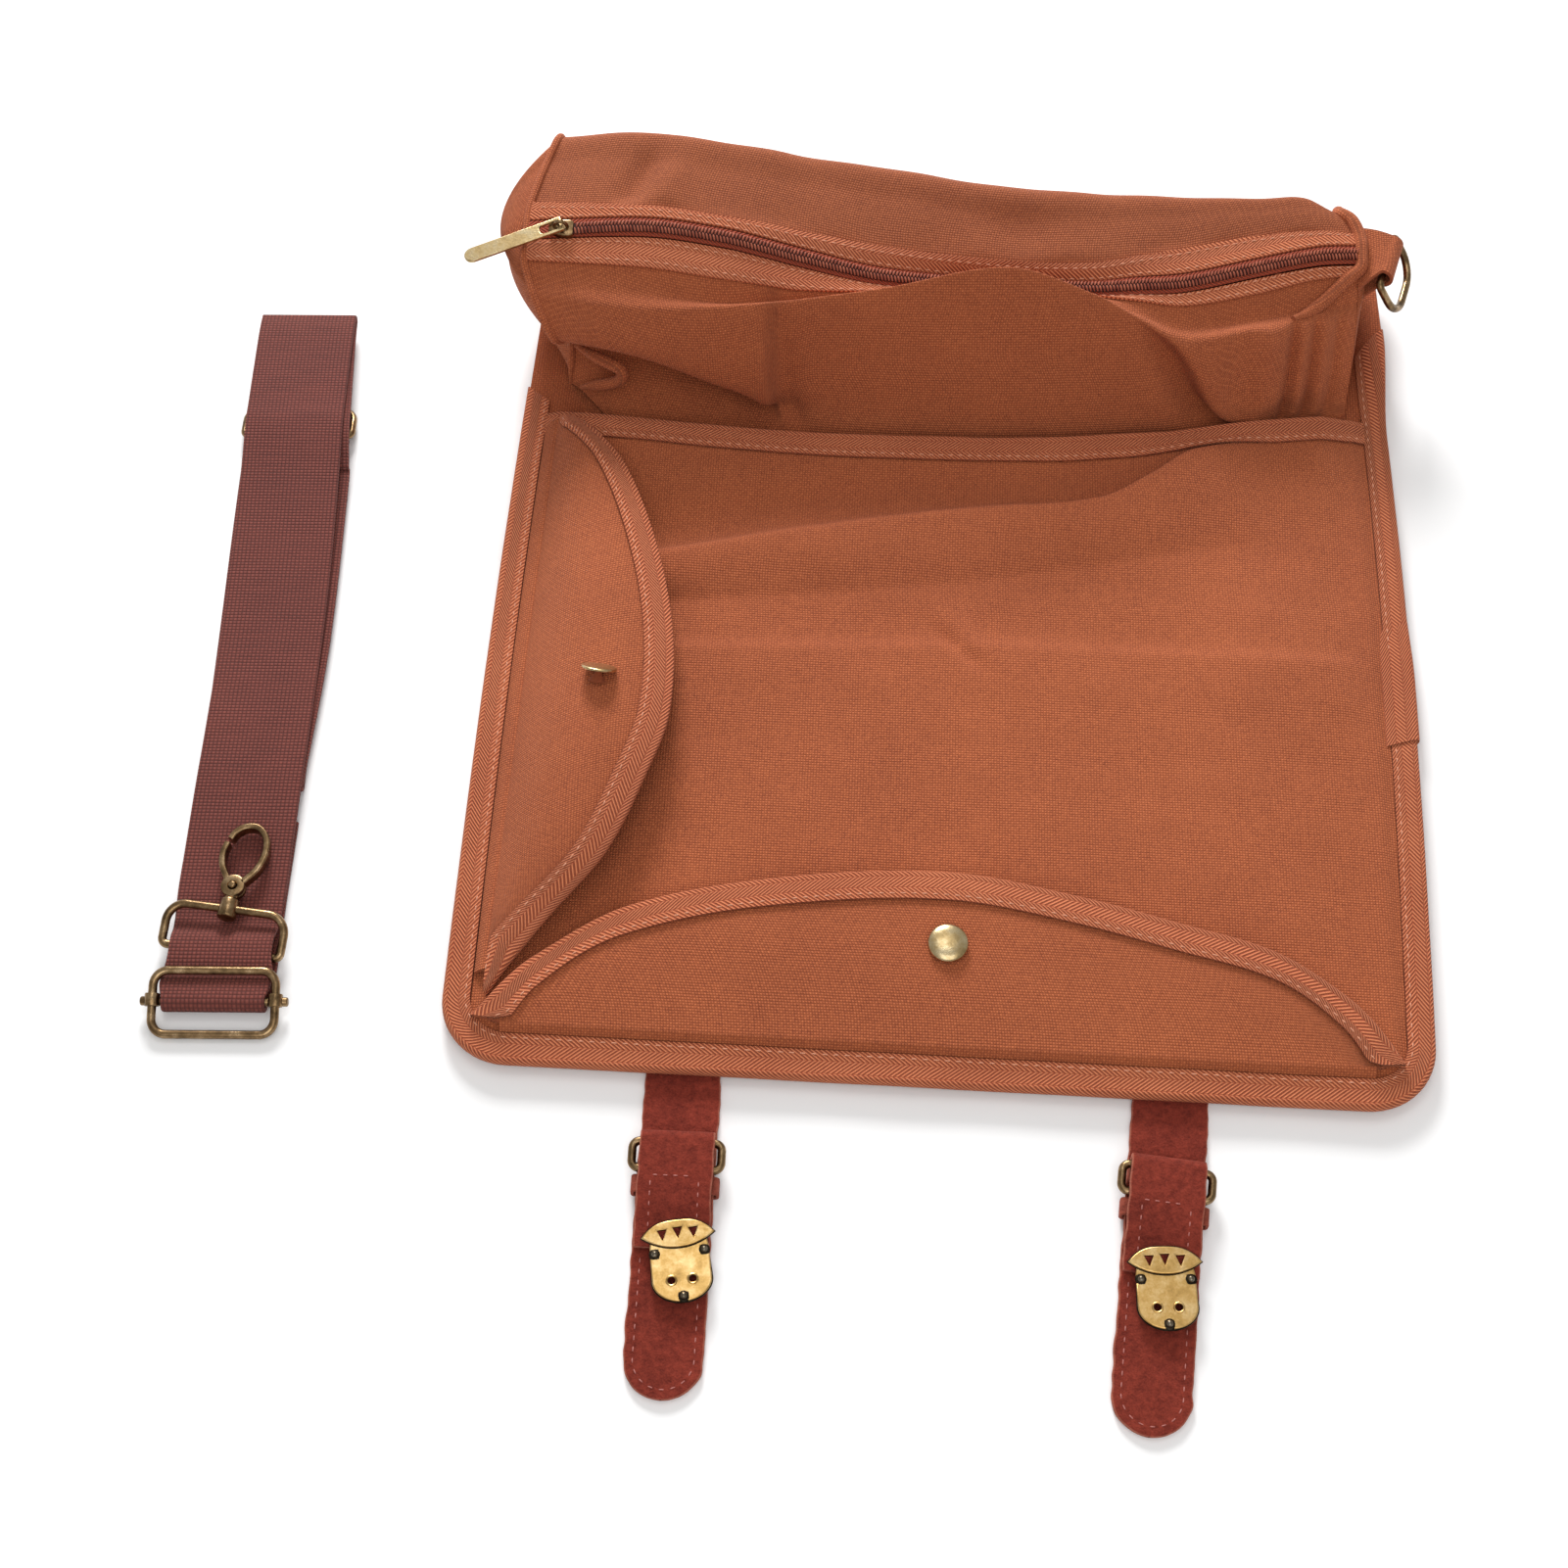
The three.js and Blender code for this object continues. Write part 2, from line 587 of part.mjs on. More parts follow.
// End panel: spans from the front's edge to the back's edge and bulges outwards
function buildEnd(name, x, side, bulge) {
  const clear = 2 * gap + compartment.wall;
  const rows = steps(0, 1, 9).map((t) => {
    const [from, to] = [frontPoint(x, t), backPoint(x, t)];
    return steps(0, 1, 6).map((s) => {
      const round = (1 - Math.abs(2 * t - 1) ** 1.7) * (1 - (2 * s - 1) ** 2);
      return from.clone().lerp(to, s).setX(x + side * (clear + bulge * round));
    });
  });
  add(name, sheet(side > 0 ? rows : rows.map((row) => row.reverse()), compartment.wall), 'canvas');
}

// Zip: a tape between the two canvas edges and the chain on it, which starts behind the slider
function buildZip() {
  const reach = zip.opening / 2 - zip.edgeGap;
  const tapeRows = stationsX.map((x) => {
    const { middle, across } = sectionAt(x);
    return [-reach, 0, reach].map((s) => middle.clone().addScaledVector(across, s));
  });
  add('zip_tape', sheet(tapeRows, zip.tapeWall), 'zip');
  const shape = [[-0.5, 0], [0.5, 0], [0.5, 0.5], [0.25, 1], [-0.25, 1], [-0.5, 0.5]];
  const chainStart = slider.x + slider.length / 2 + gap;
  const chain = [chainStart, ...stationsX.filter((x) => x > chainStart)].map((x) => {
    const { middle, across, up } = sectionAt(x);
    return shape.map(([s, u]) => middle.clone()
      .addScaledVector(across, s * zip.chainWidth)
      .addScaledVector(up, gap + u * zip.chainHeight));
  });
  add('zip_chain', loft(chain, { flat: shape.map(([s, u]) => new THREE.Vector2(s, u)) }), 'zip');
}

// Slider with a bridge over it, and the pull whose root bar runs under the bridge
const slider = { x: -151.5, length: 9, width: 7, height: 3.2 };
const bridge = { span: 5, height: 4.2, width: 1.3, wall: 1.1, sink: 0.4 };
const pull = { length: 38, width: 6.6, wall: 1.3, rootBar: 1.5, turn: 20, droop: 10, rise: 1.8 };
const pullWindow = { length: 8, width: 4.2 };

function sliderFrame() {
  const { middle, across, up } = sectionAt(slider.x);
  const along = across.clone().cross(up).normalize();
  return { middle, across, up, along };
}

function buildSlider() {
  const { middle, across, up, along } = sliderFrame();
  const { length, width, height } = slider;
  const body = plate([
    [-length / 2, -width * 0.32], [length * 0.1, -width / 2], [length / 2, -width / 2],
    [length / 2, width / 2], [length * 0.1, width / 2], [-length / 2, width * 0.32],
  ], [], 0, height);
  const arch = steps(0, Math.PI, 8).map((turn) => (
    at((bridge.span / 2) * Math.cos(turn), 0, height - bridge.sink + bridge.height * Math.sin(turn))));
  const over = sweep(rectangle(bridge.wall, bridge.width), arch, at(0, 1, 0));
  const mesh = add('zip_slider', joined(body, over), 'brass');
  mesh.matrixAutoUpdate = false;
  mesh.matrix.makeBasis(along, across, up).setPosition(middle.clone().addScaledVector(up, gap));
}

// Pull of the zip: hinged on its root bar under the bridge, lying out over the compartment's left end
function buildPull() {
  const { middle, up } = sliderFrame();
  const { length, width, wall, rootBar } = pull;
  const tip = steps(-Math.PI / 2, Math.PI / 2, 6).map((turn) => (
    [length - width / 2 + (width / 2) * Math.cos(turn), (width / 2) * Math.sin(turn)]));
  const outline = [[-rootBar / 2, -width / 2], ...tip, [-rootBar / 2, width / 2]];
  const hole = rectangle(pullWindow.length, pullWindow.width)
    .map(([x, y]) => [x + (rootBar + pullWindow.length) / 2, y]);
  const mesh = add('zip_pull', plate(outline, [hole], -wall / 2, wall), 'brass');
  mesh.rotation.order = 'ZYX';
  mesh.rotation.set(0, degToRad(pull.droop), Math.PI + degToRad(pull.turn));
  mesh.position.copy(middle).addScaledVector(up, gap + slider.height + pull.rise);
}

// A strip of even thickness bent in the plane of its length and height. Rows give y, z and where they differ
// the width and the shift sideways.
function band(path, usualWidth, wall) {
  const flat = rectangle(1, 1).map(([x, y]) => new THREE.Vector2(x, y));
  const places = path.map(({ y, z }) => new THREE.Vector2(y, z));
  const cuts = path.map(({ y, z, width = usualWidth, shift = 0 }, i) => {
    const before = places[Math.max(i - 1, 0)];
    const after = places[Math.min(i + 1, path.length - 1)];
    const tangent = after.clone().sub(before).normalize();
    return flat.map((q) => at(
      q.x * width + shift,
      y - tangent.y * q.y * wall,
      z + tangent.x * q.y * wall,
    ));
  });
  return loft(cuts, { flat });
}

// Points of an arc in the plane of y and z, in degrees
const arc = ({ y, z }, radius, from, to, count) => steps(from, to, count).map((turn) => (
  { y: y + radius * Math.cos(degToRad(turn)), z: z + radius * Math.sin(degToRad(turn)) }));

// A closed wire through a rounded rectangle that leans from its near side to its far side
function wireFrame(radius, width, near, far, sides = 8) {
  const lean = (y) => lerp(near.z, far.z, (y - near.y) / (far.y - near.y));
  const corners = [[far, 1, -1, 0], [far, -1, -1, 90], [near, -1, 1, 180], [near, 1, 1, 270]];
  const path = corners.flatMap(([{ y: end, corner }, right, inward, start]) => (
    steps(start, start + 90, corner > 3 ? 3 : 2).map((turn) => {
      const y = end + corner * (inward + Math.sin(degToRad(turn)));
      return at(right * (width / 2 - corner) + corner * Math.cos(degToRad(turn)), y, lean(y));
    })));
  return sweep(circle(radius, sides), path, at(0, 0, 1), true);
}

const rod = (radius, from, to, sides = 10) => {
  const line = to.clone().sub(from);
  const upward = Math.abs(line.z) > Math.abs(line.x) + Math.abs(line.y) ? at(1, 0, 0) : at(0, 0, 1);
  return sweep(circle(radius, sides), [from, to], upward);
};

// Suede tabs under the front edge: the strap with its round tongue, a buckle, a keeper round the strap,
// and a lock strap folded over the buckle's bar that carries the brass lock plate
const buckle = { y: -26, z: 6.4, wire: 1.4, width: 29.2, depth: 9, slope: 0.9, corner: 2.5 };
const keeper = { y: -40, low: 0.75, high: 4.9, width: 6, wall: 1.2, reach: 1.1 };
const lock = { y: -57.5, z: 5.1, wall: 1.2 };
const tabPlaces = table('side x turn reach lockShift lockTurn', [
  ['left', -83.3, 0.8, 109, 2.2, 9],
  ['right', 78.7, -4.7, 112, 0.8, 8],
]);
const tabRise = table('y z', [[10, 1], [-24, 1], [-35, 2.7], [-46, 2.7], [-56, 1]]);
const lockStrapTop = table('y z', [[-36, 8.6], [-46, 6.8], [-54, 4.1], [-61, 3.6]]);

function buildTab({ side, x, turn, reach, lockShift, lockTurn }) {
  const group = new THREE.Group();
  group.position.set(x, frontEdge, 0);
  group.rotation.z = degToRad(turn);
  root.add(group);
  const { wall, width } = suede;
  const tongue = steps(0, 80, 5).map(degToRad).map((round) => (
    { y: -reach + (width / 2) * (1 - Math.sin(round)), z: wall / 2, width: width * Math.cos(round) }));
  add(`tab_strap_${side}`, band([...tabRise, ...tongue], width, wall), 'suede', group);
  const near = { ...buckle, y: buckle.y - buckle.depth, z: buckle.z - buckle.slope };
  const frame = wireFrame(buckle.wire, buckle.width, near, buckle, 6);
  add(`tab_buckle_${side}`, frame, 'brass', group);
  const fold = arc(buckle, buckle.wire + gap + wall / 2, -90, 90, 6);
  const lockStrap = [{ y: buckle.y - 5, z: 4.4 }, ...fold, ...lockStrapTop];
  add(`lock_strap_${side}`, band(lockStrap, width - 1, wall), 'suede', group);
  add(`tab_keeper_${side}`, keeperLoop(), 'suede', group);
  const plateMesh = add(`lock_plate_${side}`, lockPlate(), 'brass', group);
  plateMesh.position.set(lockShift, lock.y, lock.z);
  plateMesh.rotation.z = degToRad(lockTurn);
}

// A flat keeper loop round the strap, square in section
function keeperLoop() {
  const { low, high, width, wall } = keeper;
  const x = suede.width / 2 + keeper.reach;
  const corners = [[-x, low, -1, -1], [x, low, 1, -1], [x, high, 1, 1], [-x, high, -1, 1]];
  const cuts = corners.map(([cx, cz, right, up]) => rectangle(width, wall).map(([y, k]) => (
    at(cx + right * k, keeper.y + y, cz + up * k))));
  return loft(cuts, { loop: true });
}

// Lock plate: a lens-shaped crown with three cut triangles over a shield with two eyes and three notches
const crown = { width: 23.4, depth: 9.4, rise: 0.9, cut: 1.3 };
const crownCuts = table('x y', [[-5, 1.4], [0, 1.9], [5, 1.5]]);
const shield = { width: 19, length: 21.6, notch: 2.6, notchTop: -4.2, round: 0.75 };
const shieldEyes = { x: 3.4, y: 7, radius: 1.2 };

function lockPlate() {
  const lens = (direction, bulge) => steps(-1, 1, 8).slice(0, -1).map((k) => (
    [direction * k * (crown.width / 2), direction * -bulge * (1 - k * k)]));
  const crownEdge = [...lens(1, crown.depth * 0.42), ...lens(-1, crown.depth * 0.58)];
  const { cut } = crown;
  const triangles = crownCuts.map(({ x, y }) => [[x - cut, y], [x + cut, y + 0.1], [x, y - 2 * cut]]);
  const { length, notch, notchTop } = shield;
  const w = shield.width / 2;
  const foot = steps(180, 360, 10).map(degToRad).map((turn) => (
    [w * Math.cos(turn), -length + w * shield.round * (1 + Math.sin(turn))]));
  const inset = w - notch;
  const sideNotch = [[w, notchTop - notch], [inset, notchTop - notch], [inset, notchTop], [w, notchTop]];
  const footNotch = [[-1, 0], [-1, 1], [1, 1], [1, 0]].map(([x, y]) => [(x * notch) / 2, y * notch - length]);
  const shieldEdge = [
    [-w + 0.5, -1], ...sideNotch.map(([x, y]) => [-x, y]).reverse(), ...foot.slice(0, 5),
    ...footNotch, ...foot.slice(6), ...sideNotch, [w - 0.5, -1],
  ];
  const eyes = [-shieldEyes.x, shieldEyes.x].map((x) => (
    circle(shieldEyes.radius, 6).map(([ex, ey]) => [x + ex, shieldEyes.y - length + ey])));
  return joined(plate(crownEdge, triangles, crown.rise, lock.wall), plate(shieldEdge, eyes, 0, lock.wall));
}

// Ring on a cloth tab: the tab is folded round the ring's straight bar and sewn to the end panel
const ringTab = { width: 19, wall: 1.3, x: 163.2, y: 150, z: 46.5, turn: -106, tilt: 48 };
const ringSize = { width: 27, depth: 18, nearCorner: 2.2, farCorner: 9.5, lean: 8 };

function buildRing() {
  const group = new THREE.Group();
  group.position.set(ringTab.x, ringTab.y, ringTab.z);
  group.rotation.order = 'ZXY';
  group.rotation.set(-degToRad(ringTab.tilt), 0, degToRad(ringTab.turn));
  root.add(group);
  const loop = wire.ring + gap + ringTab.wall / 2;
  const under = [{ y: -5, z: -loop + 0.1 }, { y: -2.5, z: -loop }];
  const over = [{ y: -4, z: loop - 0.9 }, { y: -8.5, z: loop - 2.6 }];
  const path = [...under, ...arc({ y: 0, z: 0 }, loop, -90, 90, 6), ...over];
  add('ring_tab', band(path, ringTab.width, ringTab.wall), 'canvas', group);
  const { width, depth, nearCorner, farCorner } = ringSize;
  const ring = add('d_ring', wireFrame(wire.ring, width,
    { y: 0, z: 0, corner: nearCorner }, { y: depth, z: 0, corner: farCorner }), 'brass', group);
  ring.rotation.x = -degToRad(ringSize.lean);
}

// Shoulder strap beside the bag: webbing folded in three layers, a slider at its near end, a snap hook
// whose loop holds the top layer, and a second hook that the layers cover
const strap = { x: -243.3, y: -170, turn: 2.8, length: 304 };
const strapSlider = { width: 41.6, near: { y: -8, z: 1.7, corner: 5 }, far: { y: 12.5, z: 8.6, corner: 5 } };
const sliderBar = { y: 3, z: 4.4, radius: 1.6, knob: 4.2, sleeve: 2.2, sleeveWall: 0.75 };
const hiddenBar = { y: 245, z: 3.8, corner: 2 };
const fan = { from: 88, length: 215, middle: 3, lower: -2.5 };
const topLayer = table('y z width', [
  [8, 6.6], [12.5, 5.1], [18.5, 6.5, 35.4], [25.5, 6.5, 35.4], [32.5, 3.5, 36], [48, 3.2],
  [74, 3.4], [82, 5.2], [90, 5.6], [150, 5.6], [220, 5.6], [229, 7.4],
  [238, 10.4], [245, 11.4], [258, 10.8], [290, 9.5],
]);
const middleLayer = table('y z', [
  [290, 7.2], [258, 8.6], [245, 9.2], [238, 8.2], [229, 5.2], [220, 3.4], [150, 3.4], [95, 3.4],
]);
const lowerLayer = table('y z', [[95, 1], [150, 1], [236, 1]]);
const sliderEnd = table('y z', [[74, 1], [40, 1], [12, 1]]);
const hookEnd = table('y z', [[240, 5.4], [232, 3.2]]);
const bowed = (y) => webbing.bow * Math.sin((Math.PI * clamp(y, 0, strap.length)) / strap.length) ** 2;

function buildShoulderStrap() {
  const group = new THREE.Group();
  group.position.set(strap.x, strap.y, 0);
  group.rotation.z = degToRad(strap.turn);
  root.add(group);
  const { width, wall, narrow } = webbing;
  const shifted = (rows, spread, usual = width) => rows.map((row) => ({
    y: row.y,
    z: row.z,
    width: row.width ?? usual,
    shift: bowed(row.y) + spread * Math.sin(Math.PI * clamp((row.y - fan.from) / fan.length, 0, 1)),
  }));
  const sliderFold = arc(sliderBar, sliderBar.radius + gap + wall / 2, -90, -270, 8);
  const farFold = arc({ y: 300.5, z: 6.95 }, 1.35, 90, -90, 6);
  const nearFold = arc({ y: 88.5, z: 2.2 }, 1.2, 90, 270, 6);
  const hookFold = arc(hiddenBar, wire.loop + gap + wall / 2, -90, 90, 6);
  const path = [
    ...shifted(sliderEnd, 0),
    ...shifted(sliderFold, 0, narrow),
    ...shifted([...topLayer, ...farFold], 0),
    ...shifted([...middleLayer, ...nearFold], fan.middle),
    ...shifted(lowerLayer, fan.lower),
    ...shifted([...hookFold, ...hookEnd], 0, narrow),
  ];
  add('shoulder_webbing', band(path, width, wall), 'webbing', group);
  const { near, far } = strapSlider;
  const frame = add('slider_frame', wireFrame(wire.slider, strapSlider.width, near, far), 'brass', group);
  const bar = add('slider_bar', sliderBarBody(), 'brass', group);
  frame.position.x = bowed(sliderBar.y);
  bar.position.x = bowed(sliderBar.y);
  buildHook(group, bowed(hook.y) + hook.shift);
  const hidden = add('hook_hidden', hiddenHook(), 'brass', group);
  hidden.position.x = bowed(hiddenBar.y);
}

// Centre bar of the slider: its ends are sleeves that ride on the frame's sides, with a knob beyond each
function sliderBarBody() {
  const { width, near, far } = strapSlider;
  const slope = at(0, far.y - near.y, far.z - near.z).normalize();
  const side = width / 2;
  const bore = wire.slider + gap;
  const sleeveZ = lerp(near.z, far.z, (sliderBar.y - near.y) / (far.y - near.y));
  const tube = (x, radius, reach) => {
    const [from, to] = [-reach, reach].map((k) => at(x, sliderBar.y, sleeveZ).addScaledVector(slope, k));
    return toManifold(rod(radius, from, to));
  };
  const sleeves = [-side, side].map((x) => tube(x, bore + sliderBar.sleeveWall, sliderBar.sleeve));
  const bores = [-side, side].map((x) => tube(x, bore, sliderBar.sleeve + 1));
  const end = side + sliderBar.knob;
  const { y, z, radius } = sliderBar;
  const middle = toManifold(rod(radius, at(-end, y, z), at(end, y, z)));
  const whole = sleeves.reduce((sum, piece) => sum.add(piece), middle);
  return fromManifold(bores.reduce((rest, hole) => rest.subtract(hole), whole));
}

// Snap hook: a wire loop with a barrel, a head with its arm, and a sprung gate that turns on a rivet
const hook = { y: 36, z: 8.2, turn: -8, shift: 1, barrel: 3.6, barrelRadius: 3.3, stem: 2.2 };
const hookStrip = { depth: 4.4, wall: 2.2 };
const hookLoop = { width: 41.6, depth: 14, z: 3.75, nearCorner: 2, farCorner: 6.5 };
const pivot = { x: -0.4, y: hook.barrel + 4.7, eye: 4.1, pin: 1.2, rivet: 0.9, half: 0.15, room: 0.4 };
const hookArm = table('x y', [
  [2.4, 6.6], [6, 12], [7.4, 18.4], [6.3, 24.4], [2.6, 28.2], [-1.8, 28], [-4.7, 25.6], [-6, 22.6],
]);
const hookGate = table('x y', [[-3.2, 7.4], [-6, 12], [-7.1, 17], [-6.6, 21]]);

function buildHook(parent, shift) {
  const group = new THREE.Group();
  group.position.set(shift, hook.y, hook.z);
  group.rotation.z = degToRad(hook.turn);
  parent.add(group);
  const { barrel } = hook;
  const { depth } = hookStrip;
  const loop = wireFrame(wire.loop, hookLoop.width,
    { y: -hookLoop.depth, z: hookLoop.z - hook.z, corner: hookLoop.nearCorner },
    { y: 0, z: 0, corner: hookLoop.farCorner });
  const barrelBody = rod(hook.barrelRadius, at(0, -barrel, 0), at(0, barrel, 0));
  add('hook_loop', joined(loop, barrelBody), 'brass', group);
  const bent = (rows) => {
    const curve = new THREE.CatmullRomCurve3(rows.map(({ x, y }) => at(x, y + barrel, 0)));
    return toManifold(sweep(rectangle(hookStrip.wall, depth), curve.getPoints(10), at(0, 0, 1)));
  };
  const { x, y, eye, pin, half: split, room } = pivot;
  const layer = (low, high, radius) => toManifold(rod(radius, at(x, y, low), at(x, y, high), 12));
  const stem = toManifold(rod(hook.stem, at(0, barrel + gap, 0), at(0, barrel + 3, 0)));
  const gateRoom = layer(-split, depth, eye + room);
  const body = stem.add(bent(hookArm)).subtract(gateRoom)
    .add(layer(-depth / 2, -split, eye))
    .add(layer(-1, depth / 2 + pivot.rivet, pin));
  add('hook_body', fromManifold(body), 'brass', group);
  const gate = bent(hookGate).subtract(layer(-depth, split, eye + room))
    .add(layer(split, depth / 2, eye))
    .subtract(layer(-2, depth, pin + gap));
  add('hook_gate', fromManifold(gate), 'brass', group);
}

// Second hook under the webbing: its loop and its body as one plain piece
const hiddenEye = { y: 27, length: 14.5, width: 7.5, rim: 3, z: 0.6, height: 4 };

function hiddenHook() {
  const { y, z } = hiddenBar;
  const loop = wireFrame(wire.loop, hookLoop.width, hiddenBar, { y: y + 13, z: z - 1.2, corner: 5 }, 6);
  const { length, width } = hiddenEye;
  const oval = (inset) => steps(0, 330, 11).map(degToRad).map((turn) => (
    [(width - inset) * Math.cos(turn), y + hiddenEye.y + (length - inset) * Math.sin(turn)]));
  return joined(loop, plate(oval(0), [oval(hiddenEye.rim)], hiddenEye.z, hiddenEye.height));
}

buildBase();
buildBaseBinding();
buildPocket();
buildSideFlap();
buildFrontFlap();
buildSnaps();
buildCompartment();
buildZip();
buildSlider();
buildPull();
buildRing();
tabPlaces.forEach(buildTab);
buildShoulderStrap();

export default root;
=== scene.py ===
import math
import bpy
import numpy as np
from mathutils import Matrix


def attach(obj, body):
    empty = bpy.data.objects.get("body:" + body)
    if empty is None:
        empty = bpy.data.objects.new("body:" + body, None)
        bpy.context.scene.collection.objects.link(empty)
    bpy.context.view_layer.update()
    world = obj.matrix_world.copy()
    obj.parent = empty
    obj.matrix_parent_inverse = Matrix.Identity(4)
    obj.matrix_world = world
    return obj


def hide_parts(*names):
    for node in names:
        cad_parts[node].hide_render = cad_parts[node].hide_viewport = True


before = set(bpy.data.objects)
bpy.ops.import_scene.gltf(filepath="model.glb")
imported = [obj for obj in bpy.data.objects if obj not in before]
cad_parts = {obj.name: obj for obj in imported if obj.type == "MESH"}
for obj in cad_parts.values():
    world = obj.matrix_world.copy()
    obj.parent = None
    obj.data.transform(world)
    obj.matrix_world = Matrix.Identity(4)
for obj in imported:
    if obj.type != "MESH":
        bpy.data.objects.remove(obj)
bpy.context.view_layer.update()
mm = 0.001
upright = np.array([0, 0, 1.0])
print("frame loaded:", len(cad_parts), "nodes")


# helpers for arrays: points are in millimetres until they go into a mesh

def unit(v):
    # the same direction with length 1
    return v / np.maximum(np.linalg.norm(v, axis=-1, keepdims=True), 1e-9)


def smoothStep(t):
    # 3 t squared minus 2 t cubed, held at 0 and 1 outside
    t = np.clip(t, 0, 1)
    return t * t * (3 - 2 * t)


def bump(distance, width):
    return np.exp(-(distance / width) ** 2)  # bell of a given half width


def readTable(rows, place):
    # cubic steps between the rows with averaged slopes; the first column is the place, the rest are read
    rows = np.array(rows, float)
    key, values = rows[:, 0], rows[:, 1:]
    last = len(rows) - 1
    before = np.maximum(np.arange(last + 1) - 1, 0)
    after = np.minimum(np.arange(last + 1) + 1, last)
    slopes = (values[after] - values[before]) / (key[after] - key[before])[:, None]
    place = np.asarray(place, float)
    i = np.clip(np.searchsorted(key, place) - 1, 0, last - 1)
    span = (key[i + 1] - key[i])[..., None]
    t = np.clip((place[..., None] - key[i][..., None]) / span, 0, 1)
    ease = smoothStep(t)
    start, end = t * (1 - t) ** 2 * span, t * t * (1 - t) * span
    return values[i] * (1 - ease) + values[i + 1] * ease + start * slopes[i] - end * slopes[i + 1]


def curveThrough(points, t):
    # smooth curve through the points (second last axis), its ends reflected; t runs from 0 to 1
    points = np.array(points, float)
    first = 2 * points[..., :1, :] - points[..., 1:2, :]
    final = 2 * points[..., -1:, :] - points[..., -2:-1, :]
    p = np.concatenate([first, points, final], axis=-2)
    place = np.clip(t, 0, 1) * (points.shape[-2] - 1)
    i = np.minimum(place.astype(int), points.shape[-2] - 2)
    w = (place - i)[:, None]
    a, b, c, d = (p[..., i + k, :] for k in range(4))
    s, e = (c - a) / 2, (d - b) / 2
    return (2 * b - 2 * c + s + e) * w ** 3 + (-3 * b + 3 * c - 2 * s - e) * w ** 2 + s * w + b


def lengths(line, axis=0):
    # running length along a line or along one axis of a grid
    steps = np.linalg.norm(np.diff(line, axis=axis), axis=-1)
    first = np.zeros_like(np.take(steps, [0], axis=axis))
    return np.concatenate([first, np.cumsum(steps, axis=axis)], axis=axis)


def resampled(line, spacing):
    # the same line with even steps
    s = lengths(line)
    places = np.linspace(0, s[-1], max(int(s[-1] / spacing), 2) + 1)
    return np.stack([np.interp(places, s, line[:, k]) for k in range(line.shape[1])], -1)


def columnAt(grid, share):
    # the line at a share of the way across a grid's columns, and the column before it
    k = share * (grid.shape[1] - 1)
    low = int(k)
    after = min(low + 1, grid.shape[1] - 1)
    return grid[:, low] + (grid[:, after] - grid[:, low]) * (k - low), low


def gridNormals(grid):
    # across the grid's two directions, by their cross product
    return unit(np.cross(np.gradient(grid, axis=0), np.gradient(grid, axis=1)))


def gridFaces(n, m, offset=0, flip=False, loopRows=False, loopCols=False):
    # four-cornered faces between n rows and m columns of points, joined round where a loop is asked for
    rows, cols = n if loopRows else n - 1, m if loopCols else m - 1
    i, j = np.meshgrid(np.arange(rows), np.arange(cols), indexing="ij")
    low, high, near, far = i * m, ((i + 1) % n) * m, j, (j + 1) % m
    faces = np.stack([low + near, high + near, high + far, low + far], -1).reshape(-1, 4) + offset
    return (faces[:, ::-1] if flip else faces).tolist()


def turned(points, degrees, axis="z"):
    # turns points about one axis through the origin
    c, s = math.cos(math.radians(degrees)), math.sin(math.radians(degrees))
    about = {"z": [[c, -s, 0], [s, c, 0], [0, 0, 1]], "x": [[1, 0, 0], [0, c, -s], [0, s, c]],
             "y": [[c, 0, s], [0, 1, 0], [-s, 0, c]]}[axis]
    return points @ np.array(about).T


def ripple(x, y, seed, size):
    # slow uneven waves: a few sines of seeded directions and lengths, about -1 to 1
    rng = np.random.default_rng(seed)
    total = 0
    for k in range(6):
        angle, phase = rng.uniform(0, 2 * np.pi, 2)
        length = size * rng.uniform(0.6, 1.7)
        total = total + np.sin(2 * np.pi * (x * np.cos(angle) + y * np.sin(angle)) / length + phase)
    return total / 3.2


# shapes: each gives its points and faces

def tubeFaces(n, m, loop=False):
    # faces of n sections of m points, closed on itself or with a cap at each end
    faces = gridFaces(n, m, loopRows=loop, loopCols=True)
    if not loop:
        faces += [list(range(m)), list(range((n - 1) * m, n * m))[::-1]]
    return faces


def sweep(path, section, upward=upright, loop=False):
    # a section of (across, up) pairs carried along a path; section may differ at each station
    ahead, behind = np.roll(path, -1, 0), np.roll(path, 1, 0)
    if not loop:
        ahead[-1], behind[0] = path[-1], path[0]
    tangent = unit(ahead - behind)
    across = unit(np.cross(tangent, np.broadcast_to(np.array(upward, float), tangent.shape)))
    up = np.cross(across, tangent)
    section = np.broadcast_to(section, (len(path),) + np.shape(section)[-2:])
    points = path[:, None] + across[:, None] * section[..., :1] + up[:, None] * section[..., 1:]
    return points.reshape(-1, 3), tubeFaces(len(path), section.shape[1], loop)


def circle(radius, sides):
    # even points round the origin
    turn = np.linspace(0, 2 * np.pi, sides, endpoint=False)
    return np.stack([radius * np.cos(turn), radius * np.sin(turn)], -1)


def roundedBar(width, height, corner, steps=3, fine=1):
    # outline of a rectangle with round corners, with extra points along its two long sides
    outline = []
    for cx, cy, start in ((1, 1, 0), (-1, 1, 90), (-1, -1, 180), (1, -1, 270)):
        turn = np.radians(np.linspace(start, start + 90, steps + 1))
        outline.append(np.stack([cx * (width / 2 - corner) + corner * np.cos(turn),
                                 cy * (height / 2 - corner) + corner * np.sin(turn)], -1))
        if fine > 1 and start in (0, 180):
            x = np.linspace(outline[-1][-1, 0], -outline[-1][-1, 0], fine + 1)[1:-1]
            outline.append(np.stack([x, np.full_like(x, cy * height / 2)], -1))
    return np.concatenate(outline)


